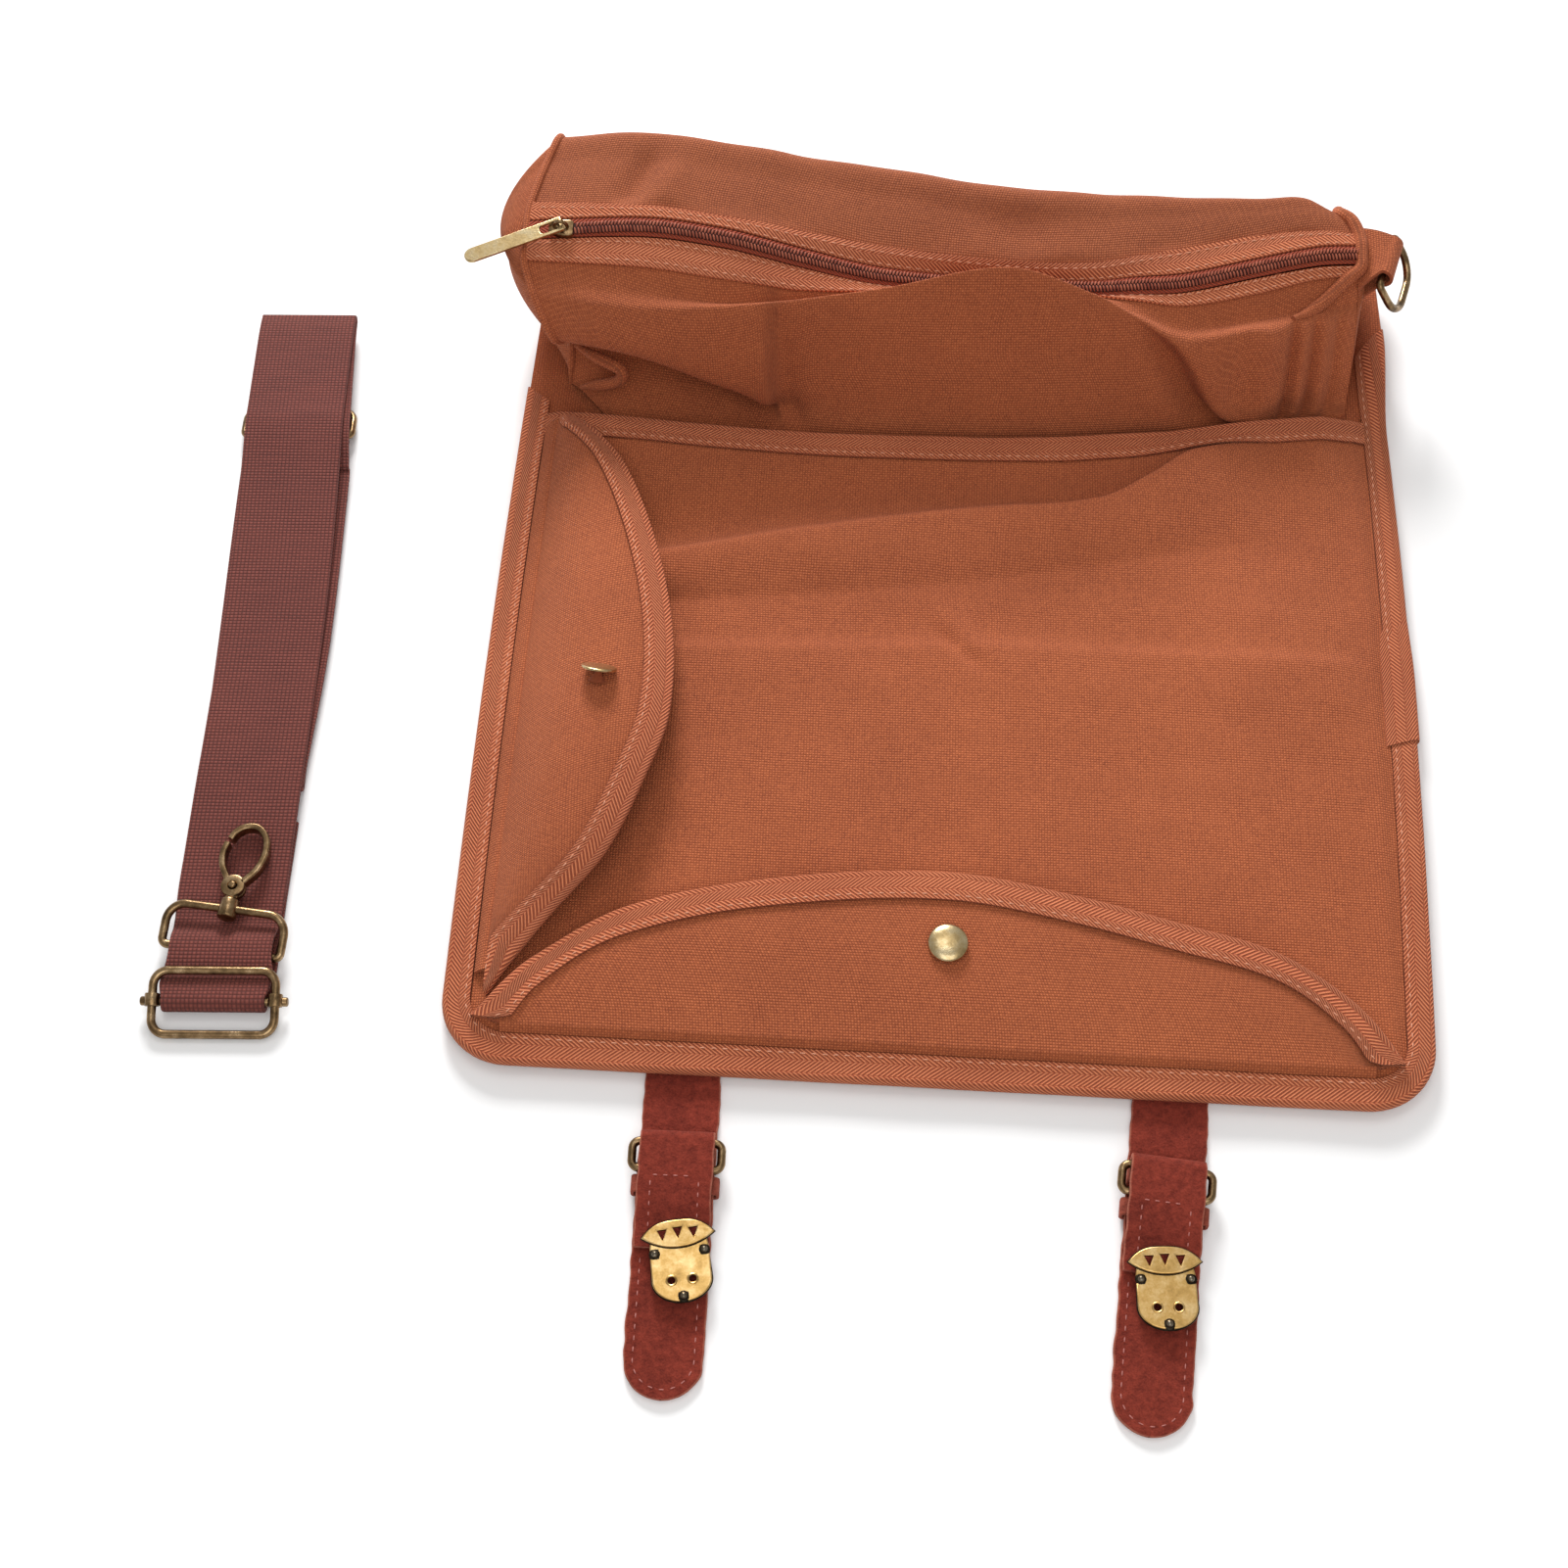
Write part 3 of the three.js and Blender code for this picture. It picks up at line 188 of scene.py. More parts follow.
def lathe(profile, sides=48):
    # a profile of (radius, height) pairs turned about z, closed at its two ends on the axis
    profile = np.array(profile, float)
    turn = np.linspace(0, 2 * np.pi, sides, endpoint=False)
    r, z = profile[1:-1, :1], profile[1:-1, 1:]
    ring = np.stack([r * np.cos(turn), r * np.sin(turn), z + 0 * turn], -1)
    n = len(r)
    points = np.concatenate([ring.reshape(-1, 3), [[0, 0, profile[0, 1]], [0, 0, profile[-1, 1]]]])
    k = np.arange(sides)
    after, last = (k + 1) % sides, (n - 1) * sides
    foot = np.stack([np.full(sides, n * sides), after, k], -1).tolist()
    head = np.stack([np.full(sides, n * sides + 1), k + last, after + last], -1).tolist()
    return points, gridFaces(n, sides, loopCols=True, flip=True) + foot + head


def manyBars(lines, side, up, radius, sides=6):
    # short bars, one along each line: circles of the stations' radii across it, and a cap at both ends
    count, rows = lines.shape[:2]
    turn = np.linspace(0, 2 * np.pi, sides, endpoint=False)[:, None]
    radius = radius[:, None, None]
    ring = side[:, :, None] * radius * np.cos(turn) + up[:, :, None] * radius * np.sin(turn)
    points = lines[:, :, None] + ring
    each = rows * sides
    quads = np.array(gridFaces(rows, sides, loopCols=True))
    ends = np.array([range(sides), range(each - 1, each - sides - 1, -1)])
    shift = (np.arange(count) * each)[:, None, None]
    faces = (quads + shift).reshape(-1, 4).tolist() + (ends + shift).reshape(-1, sides).tolist()
    return points.reshape(-1, 3), faces


def stitchRow(line, normals, pitch=3.7, length=2.4, thick=0.25, start=1.0):
    # spindles laid along a line: each follows it for its length and its two ends sink into the cloth
    s = lengths(line)
    centres = np.arange(start + pitch / 2, s[-1] - pitch / 2, pitch)
    a = np.linspace(-1, 1, 5)
    places = centres[:, None] + a * length / 2
    spread = lambda values: np.stack([np.interp(places, s, values[:, k]) for k in range(3)], -1)
    p, up = spread(line), unit(spread(normals))
    side = np.cross(unit(np.gradient(p, axis=1)), up)
    sink = (thick * (0.25 - 1.1 * a ** 2))[:, None]
    return manyBars(p + up * sink, side, up, thick * np.sqrt(1.05 - a ** 2))


def clothBody(grid, wall):
    # the grid is the shown face; the other lies one wall behind it along the normals, and a rim joins them
    n, m = grid.shape[:2]
    behind = grid - gridNormals(grid) * wall
    index = np.arange(n * m).reshape(n, m)
    ring = np.concatenate([index[0, :-1], index[:-1, -1], index[-1, :0:-1], index[:0:-1, 0]])
    after = np.roll(ring, -1)
    rim = np.stack([ring, after, after + n * m, ring + n * m], -1).tolist()
    faces = gridFaces(n, m) + gridFaces(n, m, n * m, flip=True) + rim
    uv = np.stack([lengths(grid, 0), lengths(grid, 1)], -1).reshape(-1, 2)
    return np.concatenate([grid.reshape(-1, 3), behind.reshape(-1, 3)]), faces, np.concatenate([uv, uv])


def stampedPlate(name, outlines, thickness, bevel):
    # flat outlines, the first one outside and the rest holes, filled and given a soft edge
    curve = bpy.data.curves.new(name, "CURVE")
    curve.dimensions = "2D"
    curve.fill_mode = "BOTH"
    curve.extrude = (thickness / 2 - bevel) * mm
    curve.bevel_depth = bevel * mm
    curve.bevel_resolution = 2
    curve.offset = -bevel * mm
    for outline in outlines:
        spline = curve.splines.new("POLY")
        spline.points.add(len(outline) - 1)
        flat = np.column_stack([np.array(outline) * mm, np.zeros(len(outline)), np.ones(len(outline))])
        spline.points.foreach_set("co", flat.ravel())
        spline.use_cyclic_u = True
    shape = bpy.data.objects.new(name + "_flat", curve)
    bpy.context.scene.collection.objects.link(shape)
    bpy.context.view_layer.update()
    mesh = bpy.data.meshes.new_from_object(shape.evaluated_get(bpy.context.evaluated_depsgraph_get()))
    points = np.zeros(len(mesh.vertices) * 3)
    mesh.vertices.foreach_get("co", points)
    faces = [list(face.vertices) for face in mesh.polygons]
    bpy.data.objects.remove(shape)
    bpy.data.meshes.remove(mesh)
    return points.reshape(-1, 3) / mm, faces


# materials

def tint(code):
    # hex colour to the linear values that a shader takes
    values = [int(code[k:k + 2], 16) / 255 for k in (0, 2, 4)]
    return [v / 12.92 if v <= 0.04045 else ((v + 0.055) / 1.055) ** 2.4 for v in values] + [1]


def setSocket(tree, socket, value):
    if isinstance(value, bpy.types.NodeSocket):
        tree.links.new(value, socket)
    else:
        socket.default_value = value


def addNode(tree, kind, values=None, **settings):
    made = tree.nodes.new(kind)
    for key, value in settings.items():
        setattr(made, key, value)
    for key, value in (values or {}).items():
        setSocket(tree, made.inputs[key], value)
    return made


def maths(tree, operation, a, b=0.0, c=0.0):
    return addNode(tree, "ShaderNodeMath", {0: a, 1: b, 2: c}, operation=operation).outputs[0]


def vectorMaths(tree, operation, values):
    return addNode(tree, "ShaderNodeVectorMath", values, operation=operation).outputs[0]


def weighed(tree, start, *terms):
    # a start value plus each socket times its weight
    for socket, weight in terms:
        start = maths(tree, "MULTIPLY_ADD", socket, weight, start)
    return start


def wave(tree, place, halfLength):
    # sine that changes sign at each half length
    return maths(tree, "SINE", maths(tree, "MULTIPLY", place, math.pi / halfLength))


def noise(tree, scale, detail=2.0, rough=0.5, vector=None):
    # in the piece's own space, or over a given vector
    vector = vector or addNode(tree, "ShaderNodeTexCoord").outputs["Object"]
    values = {"Vector": vector, "Scale": scale, "Detail": detail, "Roughness": rough}
    return addNode(tree, "ShaderNodeTexNoise", values).outputs["Fac"]


def ramp(tree, factor, *stops):
    # the two end stops come first, then any between them
    made = addNode(tree, "ShaderNodeValToRGB", {"Fac": factor})
    for k, (place, colour) in enumerate(stops):
        stop = made.color_ramp.elements[k] if k < 2 else made.color_ramp.elements.new(place)
        stop.position = place
        stop.color = tint(colour)
    return made.outputs["Color"]


def newMaterial(name, **sockets):
    # a principled shader with the given sockets set
    material = bpy.data.materials.new(name)
    material.use_nodes = True
    tree = material.node_tree
    shader = tree.nodes["Principled BSDF"]
    for key, value in sockets.items():
        shader.inputs[key.replace("_", " ")].default_value = value
    return material, tree, shader


def finishWith(tree, shader, colour, height, strength, distance):
    # joins the colour, and the height as relief, to the shader
    tree.links.new(colour, shader.inputs["Base Color"])
    relief = addNode(tree, "ShaderNodeBump", {"Height": height, "Strength": strength, "Distance": distance})
    tree.links.new(relief.outputs[0], shader.inputs["Normal"])


def weaveCoordinates(tree, wobble):
    # the piece's own cloth coordinates in metres, wandering a little as yarns do
    cloth = addNode(tree, "ShaderNodeUVMap", uv_map="weave").outputs[0]
    drift = addNode(tree, "ShaderNodeTexNoise", {"Vector": cloth, "Scale": 130.0, "Detail": 2.0})
    centred = vectorMaths(tree, "SUBTRACT", {0: drift.outputs["Color"], 1: (0.5, 0.5, 0.5)})
    moved = vectorMaths(tree, "SCALE", {0: centred, "Scale": wobble})
    return vectorMaths(tree, "ADD", {0: cloth, 1: moved})


def plainWeave(tree, cloth, pitchU, pitchV):
    # yarn crowns: the sine along one yarn set times the sine along the other, one crown for each crossing
    parts = addNode(tree, "ShaderNodeSeparateXYZ", {0: cloth}).outputs
    return maths(tree, "MULTIPLY", wave(tree, parts[0], pitchU), wave(tree, parts[1], pitchV))


def yarnNoise(tree, cloth, alongU, alongV):
    # thick and thin places along single yarns
    scaled = addNode(tree, "ShaderNodeMapping", {"Vector": cloth, "Scale": (alongU, alongV, 1)})
    return noise(tree, 1.0, vector=scaled.outputs[0])


canvasLook = dict(pitch=0.00098, wobble=0.0004, slubLength=120, slubWidth=1000)


def canvasMaterial(name, light, middle, deep):
    # plain weave with slubs, fading in soft clouds; warp crowns are a little lighter than weft crowns
    material, tree, shader = newMaterial(name, Roughness=0.93, Sheen_Weight=0.12, Sheen_Roughness=0.5,
                                         Sheen_Tint=tint("e8a07a"))
    cloth = weaveCoordinates(tree, canvasLook["wobble"])
    product = plainWeave(tree, cloth, canvasLook["pitch"], canvasLook["pitch"])
    crown = maths(tree, "POWER", maths(tree, "ABSOLUTE", product), 1.1)
    long, thin = canvasLook["slubLength"], canvasLook["slubWidth"]
    slubs = maths(tree, "ADD", yarnNoise(tree, cloth, long, thin), yarnNoise(tree, cloth, thin, long))
    cloud, fine = noise(tree, 16.0, 4.0, 0.62), noise(tree, 900.0)
    tone = weighed(tree, -0.38, (crown, 0.5), (product, 0.11), (slubs, 0.18), (cloud, 0.3), (fine, 0.5))
    colour = ramp(tree, tone, (0.05, deep), (0.95, light), (0.5, middle))
    finishWith(tree, shader, colour, weighed(tree, crown, (slubs, 0.35)), 0.7, 0.0004)
    return material


twillLook = dict(zone=0.0042, pitch=0.0017, slant=1.3, wobble=0.0004)


def twillMaterial(name, light, middle, deep):
    # herringbone: diagonal ribs whose direction turns back at each zone across the tape
    material, tree, shader = newMaterial(name, Roughness=0.9, Sheen_Weight=0.15, Sheen_Roughness=0.5,
                                         Sheen_Tint=tint("f0b090"))
    parts = addNode(tree, "ShaderNodeSeparateXYZ", {0: weaveCoordinates(tree, twillLook["wobble"])}).outputs
    zigzag = maths(tree, "PINGPONG", parts[1], twillLook["zone"])
    place = weighed(tree, parts[0], (zigzag, twillLook["slant"]))
    rib = weighed(tree, 0.5, (wave(tree, place, twillLook["pitch"] / 2), 0.5))
    between = maths(tree, "ABSOLUTE", wave(tree, parts[1], twillLook["zone"]))  # falls to 0 where zones meet
    between = maths(tree, "MINIMUM", maths(tree, "MULTIPLY", between, 4.0), 1.0)
    tone = weighed(tree, -0.25, (rib, 0.8), (noise(tree, 30.0, 3.0), 0.3), (noise(tree, 900.0), 0.3))
    tone = maths(tree, "MULTIPLY", tone, weighed(tree, 0.85, (between, 0.15)))
    colour = ramp(tree, tone, (0.1, deep), (0.95, light), (0.5, middle))
    finishWith(tree, shader, colour, maths(tree, "MULTIPLY", rib, between), 1.0, 0.0006)
    return material


def suedeMaterial(name, light, middle, deep, edge):
    # short nap: fine noise over clouds of brushed and pressed places, and a paler raw edge
    material, tree, shader = newMaterial(name, Roughness=0.97, Sheen_Weight=0.35, Sheen_Roughness=0.4,
                                         Sheen_Tint=tint("d98a78"), Specular_IOR_Level=0.2)
    cloud, nap = noise(tree, 75.0, 5.0, 0.65), noise(tree, 1500.0, 3.0, 0.7)
    grain = noise(tree, 420.0, 4.0, 0.62)
    tone = weighed(tree, -0.49, (cloud, 0.45), (nap, 0.6), (grain, 0.65))
    colour = ramp(tree, tone, (0.15, deep), (0.9, light), (0.5, middle))
    wear = addNode(tree, "ShaderNodeAttribute", attribute_name="wear").outputs["Fac"]
    raw = maths(tree, "MULTIPLY", wear, weighed(tree, 0.1, (grain, 0.8)))
    mix = addNode(tree, "ShaderNodeMix", data_type="RGBA")
    for k, value in ((0, raw), (6, colour), (7, tint(edge))):  # factor and the two colours
        setSocket(tree, mix.inputs[k], value)
    finishWith(tree, shader, mix.outputs[2], weighed(tree, grain, (nap, 0.6)), 1.0, 0.0007)
    return material


webbingLook = dict(pitchAlong=0.0013, pitchAcross=0.00145, wobble=0.0003)


def webbingMaterial(name, light, middle, deep):
    # coarse basket weave of thick yarns, with a thin dark line between them
    material, tree, shader = newMaterial(name, Roughness=0.9, Sheen_Weight=0.05, Sheen_Roughness=0.5,
                                         Sheen_Tint=tint("c88878"))
    cloth = weaveCoordinates(tree, webbingLook["wobble"])
    product = plainWeave(tree, cloth, webbingLook["pitchAlong"], webbingLook["pitchAcross"])
    crown = maths(tree, "POWER", maths(tree, "ABSOLUTE", product), 0.55)
    slubs, cloud = yarnNoise(tree, cloth, 900, 70), noise(tree, 22.0, 3.0)
    tone = weighed(tree, -0.18, (crown, 0.5), (slubs, 0.3), (product, 0.07), (cloud, 0.24))
    colour = ramp(tree, tone, (0.05, deep), (0.9, light), (0.5, middle))
    finishWith(tree, shader, colour, crown, 0.75, 0.0005)
    return material


def brassMaterial(name, bright, middle, dark, rough, patina, stained=1.5):
    # worn antique plating: bright metal under dark stains, with fine scratches
    material, tree, shader = newMaterial(name, Metallic=1.0)
    stain, speck = noise(tree, 210.0, 5.0, 0.62), noise(tree, 1400.0)
    tone = weighed(tree, 0.35 - stained / 2 - patina, (stain, stained), (speck, 0.3))
    colour = ramp(tree, tone, (0.0, dark), (1.0, bright), (0.45, middle))
    finishWith(tree, shader, colour, weighed(tree, speck, (stain, 0.5)), 0.12, 0.0003)
    tree.links.new(weighed(tree, rough + 0.1, (tone, -0.16)), shader.inputs["Roughness"])
    return material


threadLook = dict(scale=1800.0, detail=2.0, low=0.25, relief=0.3, Roughness=0.7, Sheen_Weight=0.2)
coilLook = dict(scale=300.0, detail=3.0, low=0.3, relief=0.15, Roughness=0.6, Specular_IOR_Level=0.2)


def mottledMaterial(name, light, deep, scale, detail, low, relief, **sockets):
    # two shades that follow one fine noise
    material, tree, shader = newMaterial(name, **sockets)
    mottle = noise(tree, scale, detail)
    finishWith(tree, shader, ramp(tree, mottle, (low, deep), (0.75, light)), mottle, relief, 0.0002)
    return material


canvas = canvasMaterial("canvas", "cd7547", "ad5a32", "7a361b")
# painted shade: a darker copy of the canvas, so the compartment's back and top come out darker
shadedCanvas = canvasMaterial("shaded_canvas", "bb6a40", "9d522d", "6f3118")
twill = twillMaterial("twill_tape", "e88f62", "cb6b40", "8c3c20")
suede = suedeMaterial("suede", "a84a3a", "8a3729", "5e2018", "b8745e")
webbingCloth = webbingMaterial("webbing", "924d40", "753930", "451d19")
zipCloth = twillMaterial("zip_tape", "bd4d2a", "a53f22", "7c2c18")
coil = mottledMaterial("zip_coil", "b5694f", "7f3a2a", **coilLook)
# the cord inside the coil, coloured near-black: painted shade seen between the coil's turns
coreShade = mottledMaterial("zip_core_shade", "4a1a12", "33100a", **coilLook)
darkBrass = brassMaterial("antique_brass", "d3b68e", "866c4c", "35281b", 0.27, 0.08)
paleBrass = brassMaterial("worn_brass", "e4d4ae", "b59c6e", "67563b", 0.28, -0.06)
plateBrass = brassMaterial("polished_brass", "f0d7a4", "c39d5e", "7c5f34", 0.32, 0.0, 1.1)
# painted shade: a near-black metal for the lock plate's hollows and the dark rims round its plates
paintedShade = brassMaterial("painted_shade_metal", "4c4337", "2b251d", "100d0a", 0.4, 0.1)
blackMetal = brassMaterial("dark_metal", "a8a08f", "6a6152", "2a241b", 0.3, 0.05)
paleThread = mottledMaterial("pale_thread", "e3a283", "bd7753", **threadLook)
pinkThread = mottledMaterial("pink_thread", "c9847a", "9b5148", **threadLook)
print("materials made")


# meshes

sharpAngle = math.radians(42)  # edges that turn by more than this stay sharp


def makePiece(name, points, faces, material, body="bag", uv=None, flags=None, extra=False):
    # stands for the solid of its own name, unless it is an extra that is sewn to one or set on it
    mesh = bpy.data.meshes.new("dressed_" + name)
    mesh.from_pydata((points * mm).tolist(), [], faces)
    if uv is not None:
        corners = np.zeros(len(mesh.loops), int)
        mesh.loops.foreach_get("vertex_index", corners)
        layer = mesh.uv_layers.new(name="weave")
        layer.data.foreach_set("uv", (uv[corners] * mm).astype(np.float32).ravel())
    if flags is not None:
        wear = mesh.attributes.new("wear", "FLOAT", "POINT")
        wear.data.foreach_set("value", flags.astype(np.float32))
    mesh.shade_smooth()
    mesh.set_sharp_from_angle(angle=sharpAngle)
    mesh.update()
    piece = bpy.data.objects.new("dressed_" + name, mesh)
    bpy.context.scene.collection.objects.link(piece)
    mesh.materials.append(material)
    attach(piece, body)
    if not extra:
        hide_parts(name)
    return piece


def makeJoined(name, parts, material, move=None, body="bag", extra=False):
    # several bodies in one mesh: stacks their points and moves their face numbers
    points, faces, count = [], [], 0
    for p, f in parts:
        points.append(p)
        faces += [[v + count for v in face] for face in f]
        count += len(p)
    points = np.concatenate(points)
    makePiece(name, move(points) if move else points, faces, material, body, extra=extra)


def makeCloth(name, grid, wall, material):
    # a piece of cloth whose shown face is the grid
    points, faces, uv = clothBody(grid, wall)
    return makePiece(name, points, faces, material, uv=uv)


def makeSheet(name, grid, wall, full=1.0, material=canvas):
    # flat cut: the longest run each way and the surface's area, times the fullness that is gathered in
    piece = makeCloth(name, grid, wall, material)
    wide, tall = lengths(grid, 0)[-1].max() * mm, lengths(grid, 1)[:, -1].max() * mm
    a, b = grid[1:, 1:] - grid[:-1, :-1], grid[1:, :-1] - grid[:-1, 1:]
    area = np.linalg.norm(np.cross(a, b), axis=-1).sum() / 2 * mm * mm
    wide, tall, area = round(float(wide * full), 4), round(float(tall), 4), round(float(area * full), 5)
    print("cut of", piece.name, wide, tall, area)


# camera, floor and light

view = dict(place=(-0.0318, -0.4881, 0.728), look=(-0.0292, 0.499, -0.866),
            right=(0.998, 0.058, 0), angle=36.94)
floorLook = dict(reach=3, height=-0.0003, dark="f7f7f7", light="f9f9f9")
studio = dict(colour=(1.0, 0.99, 0.98, 1), strength=0.45)
lamps = [  # name, place, size, watts
    ("key", (-0.35, 1.4, 0.8), 0.5, 31),  # low, from behind
    ("panel", (-0.1, 0.3, 1.45), 0.6, 2.6),  # mirrored by the metal
    ("fill", (0.1, -1.0, 1.3), 1.2, 8.5)]  # broad, in front


def addToStage(name, data, right, back, place):
    # looks along the opposite of back, with right to its right
    made = bpy.data.objects.new(name, data)
    basis = np.eye(4)
    basis[:3, :4] = np.stack([right, np.cross(back, right), back, np.array(place)], -1)
    made.matrix_world = Matrix(basis.tolist())
    bpy.context.scene.collection.objects.link(made)
    return made


def makeCamera():
    lens = bpy.data.cameras.new("camera")
    lens.sensor_fit = "AUTO"
    lens.angle = math.radians(view["angle"])
    back = -unit(np.array(view["look"]))
    right = unit(np.array(view["right"]) - back * np.dot(back, view["right"]))
    bpy.context.scene.camera = addToStage("camera", lens, right, back, view["place"])


def makeFloor():
    material, tree, shader = newMaterial("pale_floor", Roughness=0.9)
    colour = ramp(tree, noise(tree, 3.0), (0.0, floorLook["dark"]), (1.0, floorLook["light"]))
    tree.links.new(colour, shader.inputs["Base Color"])
    mesh = bpy.data.meshes.new("floor")
    corners = [(x * floorLook["reach"], y * floorLook["reach"], floorLook["height"])
               for x, y in ((-1, -1), (1, -1), (1, 1), (-1, 1))]
    mesh.from_pydata(corners, [], [(0, 1, 2, 3)])
    mesh.materials.append(material)
    floor = bpy.data.objects.new("floor", mesh)
    bpy.context.scene.collection.objects.link(floor)


def makeLight():
    world = bpy.data.worlds.new("studio")
    world.use_nodes = True
    surround = world.node_tree.nodes["Background"]
    surround.inputs[0].default_value = studio["colour"]
    surround.inputs[1].default_value = studio["strength"]
    bpy.context.scene.world = world
    for name, place, size, watts in lamps:
        lamp = bpy.data.lights.new(name, "AREA")
        lamp.size = size
        lamp.energy = watts
        away = unit(np.array(place))
        addToStage(name, lamp, unit(np.cross((0, 1, 0.01), away)), away, place)
    bpy.context.scene.view_settings.view_transform = "Standard"


makeCamera()
makeFloor()
makeLight()
print("stage ready")


# twill tape folded over a bound edge

tape = dict(wall=0.9, width=9.6, baseWidth=8.5, clear=0.4, seam=1.7, lines=9)


def boundTape(strip, clothWall, lift=0.0):
    # strip is the cloth under the tape, its columns from the tape's inner edge to the cloth's edge: the outer
    # face lies above it, raised by the lift at its inner edge, and goes round the edge on half an ellipse
    normals = gridNormals(strip)
    outward = unit(strip[:, -1] - strip[:, -2])
    rise = tape["clear"] + tape["wall"]
    raised = smoothStep(np.linspace(1, 0, strip.shape[1]))[:, None] * upright
    top = strip + normals * rise + np.broadcast_to(lift, len(strip))[:, None, None] * raised
    lip = top[:, :1] - normals[:, :1] * 0.35 - (strip[:, 1:2] - strip[:, :1]) * 0.12  # rounds the inner edge
    under = strip - normals * (clothWall + rise)
    turn = np.radians(np.linspace(90, -90, 11)[1:-1])[None, :, None]
    middle = strip[:, -1:] - normals[:, -1:] * clothWall / 2
    web = middle + outward[:, None] * np.cos(turn) * rise
    web = web + normals[:, -1:] * np.sin(turn) * (clothWall / 2 + rise)
    insideUnder = strip - normals * (clothWall + tape["clear"])
    insideTop = strip + normals * tape["clear"]
    profile = np.concatenate([lip, top, web, under[:, ::-1], insideUnder, insideTop[:, ::-1]], axis=1)
    n, m = profile.shape[:2]
    along = np.broadcast_to(lengths(strip[:, -1])[:, None], (n, m))
    uv = np.stack([along, lengths(profile, 1)], -1).reshape(-1, 2)
    return profile.reshape(-1, 3), tubeFaces(n, m), uv, top, normals


def bindEdge(name, strip, clothWall, lift=0.0):
    # the tape over an edge, and a row of stitches beside its inner edge
    points, faces, uv, top, normals = boundTape(strip, clothWall, lift)
    makePiece(name, points, faces, twill, uv=uv)
    line, k = columnAt(top, tape["seam"] / tape["width"])
    makeJoined(name + "_stitches", [stitchRow(line, normals[:, k])], paleThread, extra=True)


def stripLines(reach, count):
    # places across a sheet from 0 to 1, the last ones close together under the tape; one row for each reach
    share = np.minimum(tape["width"] / reach, 0.8)[:, None]
    inner = (1 - share) * np.linspace(0, 1, count, endpoint=False)
    return np.concatenate([inner, 1 - share + share * np.linspace(0, 1, tape["lines"])], axis=1)


# base panel and its binding

base = dict(width=330, length=366, corner=22, rightBow=4, leftBow=2, wall=2, lift=3.6,
            flatInset=26, marginInset=12)
curl = dict(height=12, start=96, run=40, width=14)
baseTape = dict(rightEnd=140, leftEnd=104, wave=0.18, waveLength=40, lift=0.2, sewnLift=1.3, rightSide=100,
                sewnBack=86, sewnRun=10, rightSewnBack=-150, rightSewnRun=16)
tapeLap = dict(front=-43, back=12, inwards=1.6, rise=0.8, start=14, run=34, sink=0.1)
half, frontEdge, backEdge = base["width"] / 2, -base["length"] / 2, base["length"] / 2
floorTop = base["lift"] + base["wall"]


def sideBow(x, y):
    # the sides bow out by a half sine along their length
    bow = np.where(x > 0, base["rightBow"], -base["leftBow"])
    return bow * np.sin(np.pi * (y + backEdge) / base["length"])


def panelEdge(inset):
    # right side from the back, round corner, front from right to left, round corner, left side to the back
    radius = max(base["corner"] - inset, 2)
    cx, cy = half - inset - radius, frontEdge + inset + radius
    side = np.linspace(backEdge - inset, cy, 136)
    across = np.linspace(cx, -cx, 116)[1:-1]
    turn = np.linspace(0, np.pi / 2, 14)[1:]
    x = np.concatenate([0 * side + half - inset, cx + radius * np.cos(turn), across,
                        -cx - radius * np.sin(turn - turn[0]), 0 * side - half + inset])
    y = np.concatenate([side, cy - radius * np.sin(turn), 0 * across + frontEdge + inset,
                        cy - radius * np.cos(turn - turn[0]), side[::-1]])
    return np.stack([x + sideBow(x, y), y, 0 * x], -1)


def turnedUp(x, y):
    # height of the right edge where it turns up beside the compartment
    back = smoothStep((y - curl["start"]) / curl["run"])
    return curl["height"] * back * smoothStep((x - half + curl["width"]) / curl["width"])


def makeBasePanel():
    # flat on the floor in the middle, lifted round its edge by a smooth step of the distance from that edge
    corner, cornerEnd = base["corner"], frontEdge + base["corner"]
    phi = np.linspace(0, np.pi / 2, 12)
    straight = np.linspace(cornerEnd, backEdge, 90)[1:]
    wide = np.concatenate([half - corner * (1 - np.sin(phi)), 0 * straight + half])
    u = np.linspace(-1, 1, 101)[:, None]
    x = u * wide
    y = np.concatenate([frontEdge + corner * (1 - np.cos(phi)), straight]) + 0 * x
    fromCorner = corner - np.hypot(np.maximum(np.abs(x) - half + corner, 0), np.maximum(cornerEnd - y, 0))
    inset = np.minimum(np.minimum(wide - np.abs(x), backEdge - y), y - frontEdge)
    inset = np.where(y < cornerEnd, np.minimum(inset, fromCorner), inset)
    z = base["lift"] * smoothStep((base["flatInset"] - inset) / (base["flatInset"] - base["marginInset"]))
    grid = np.stack([x + sideBow(u + 0 * x, y) * np.abs(u), y, z + base["wall"] + turnedUp(x, y)], -1)
    makeSheet("base_panel", grid, base["wall"])


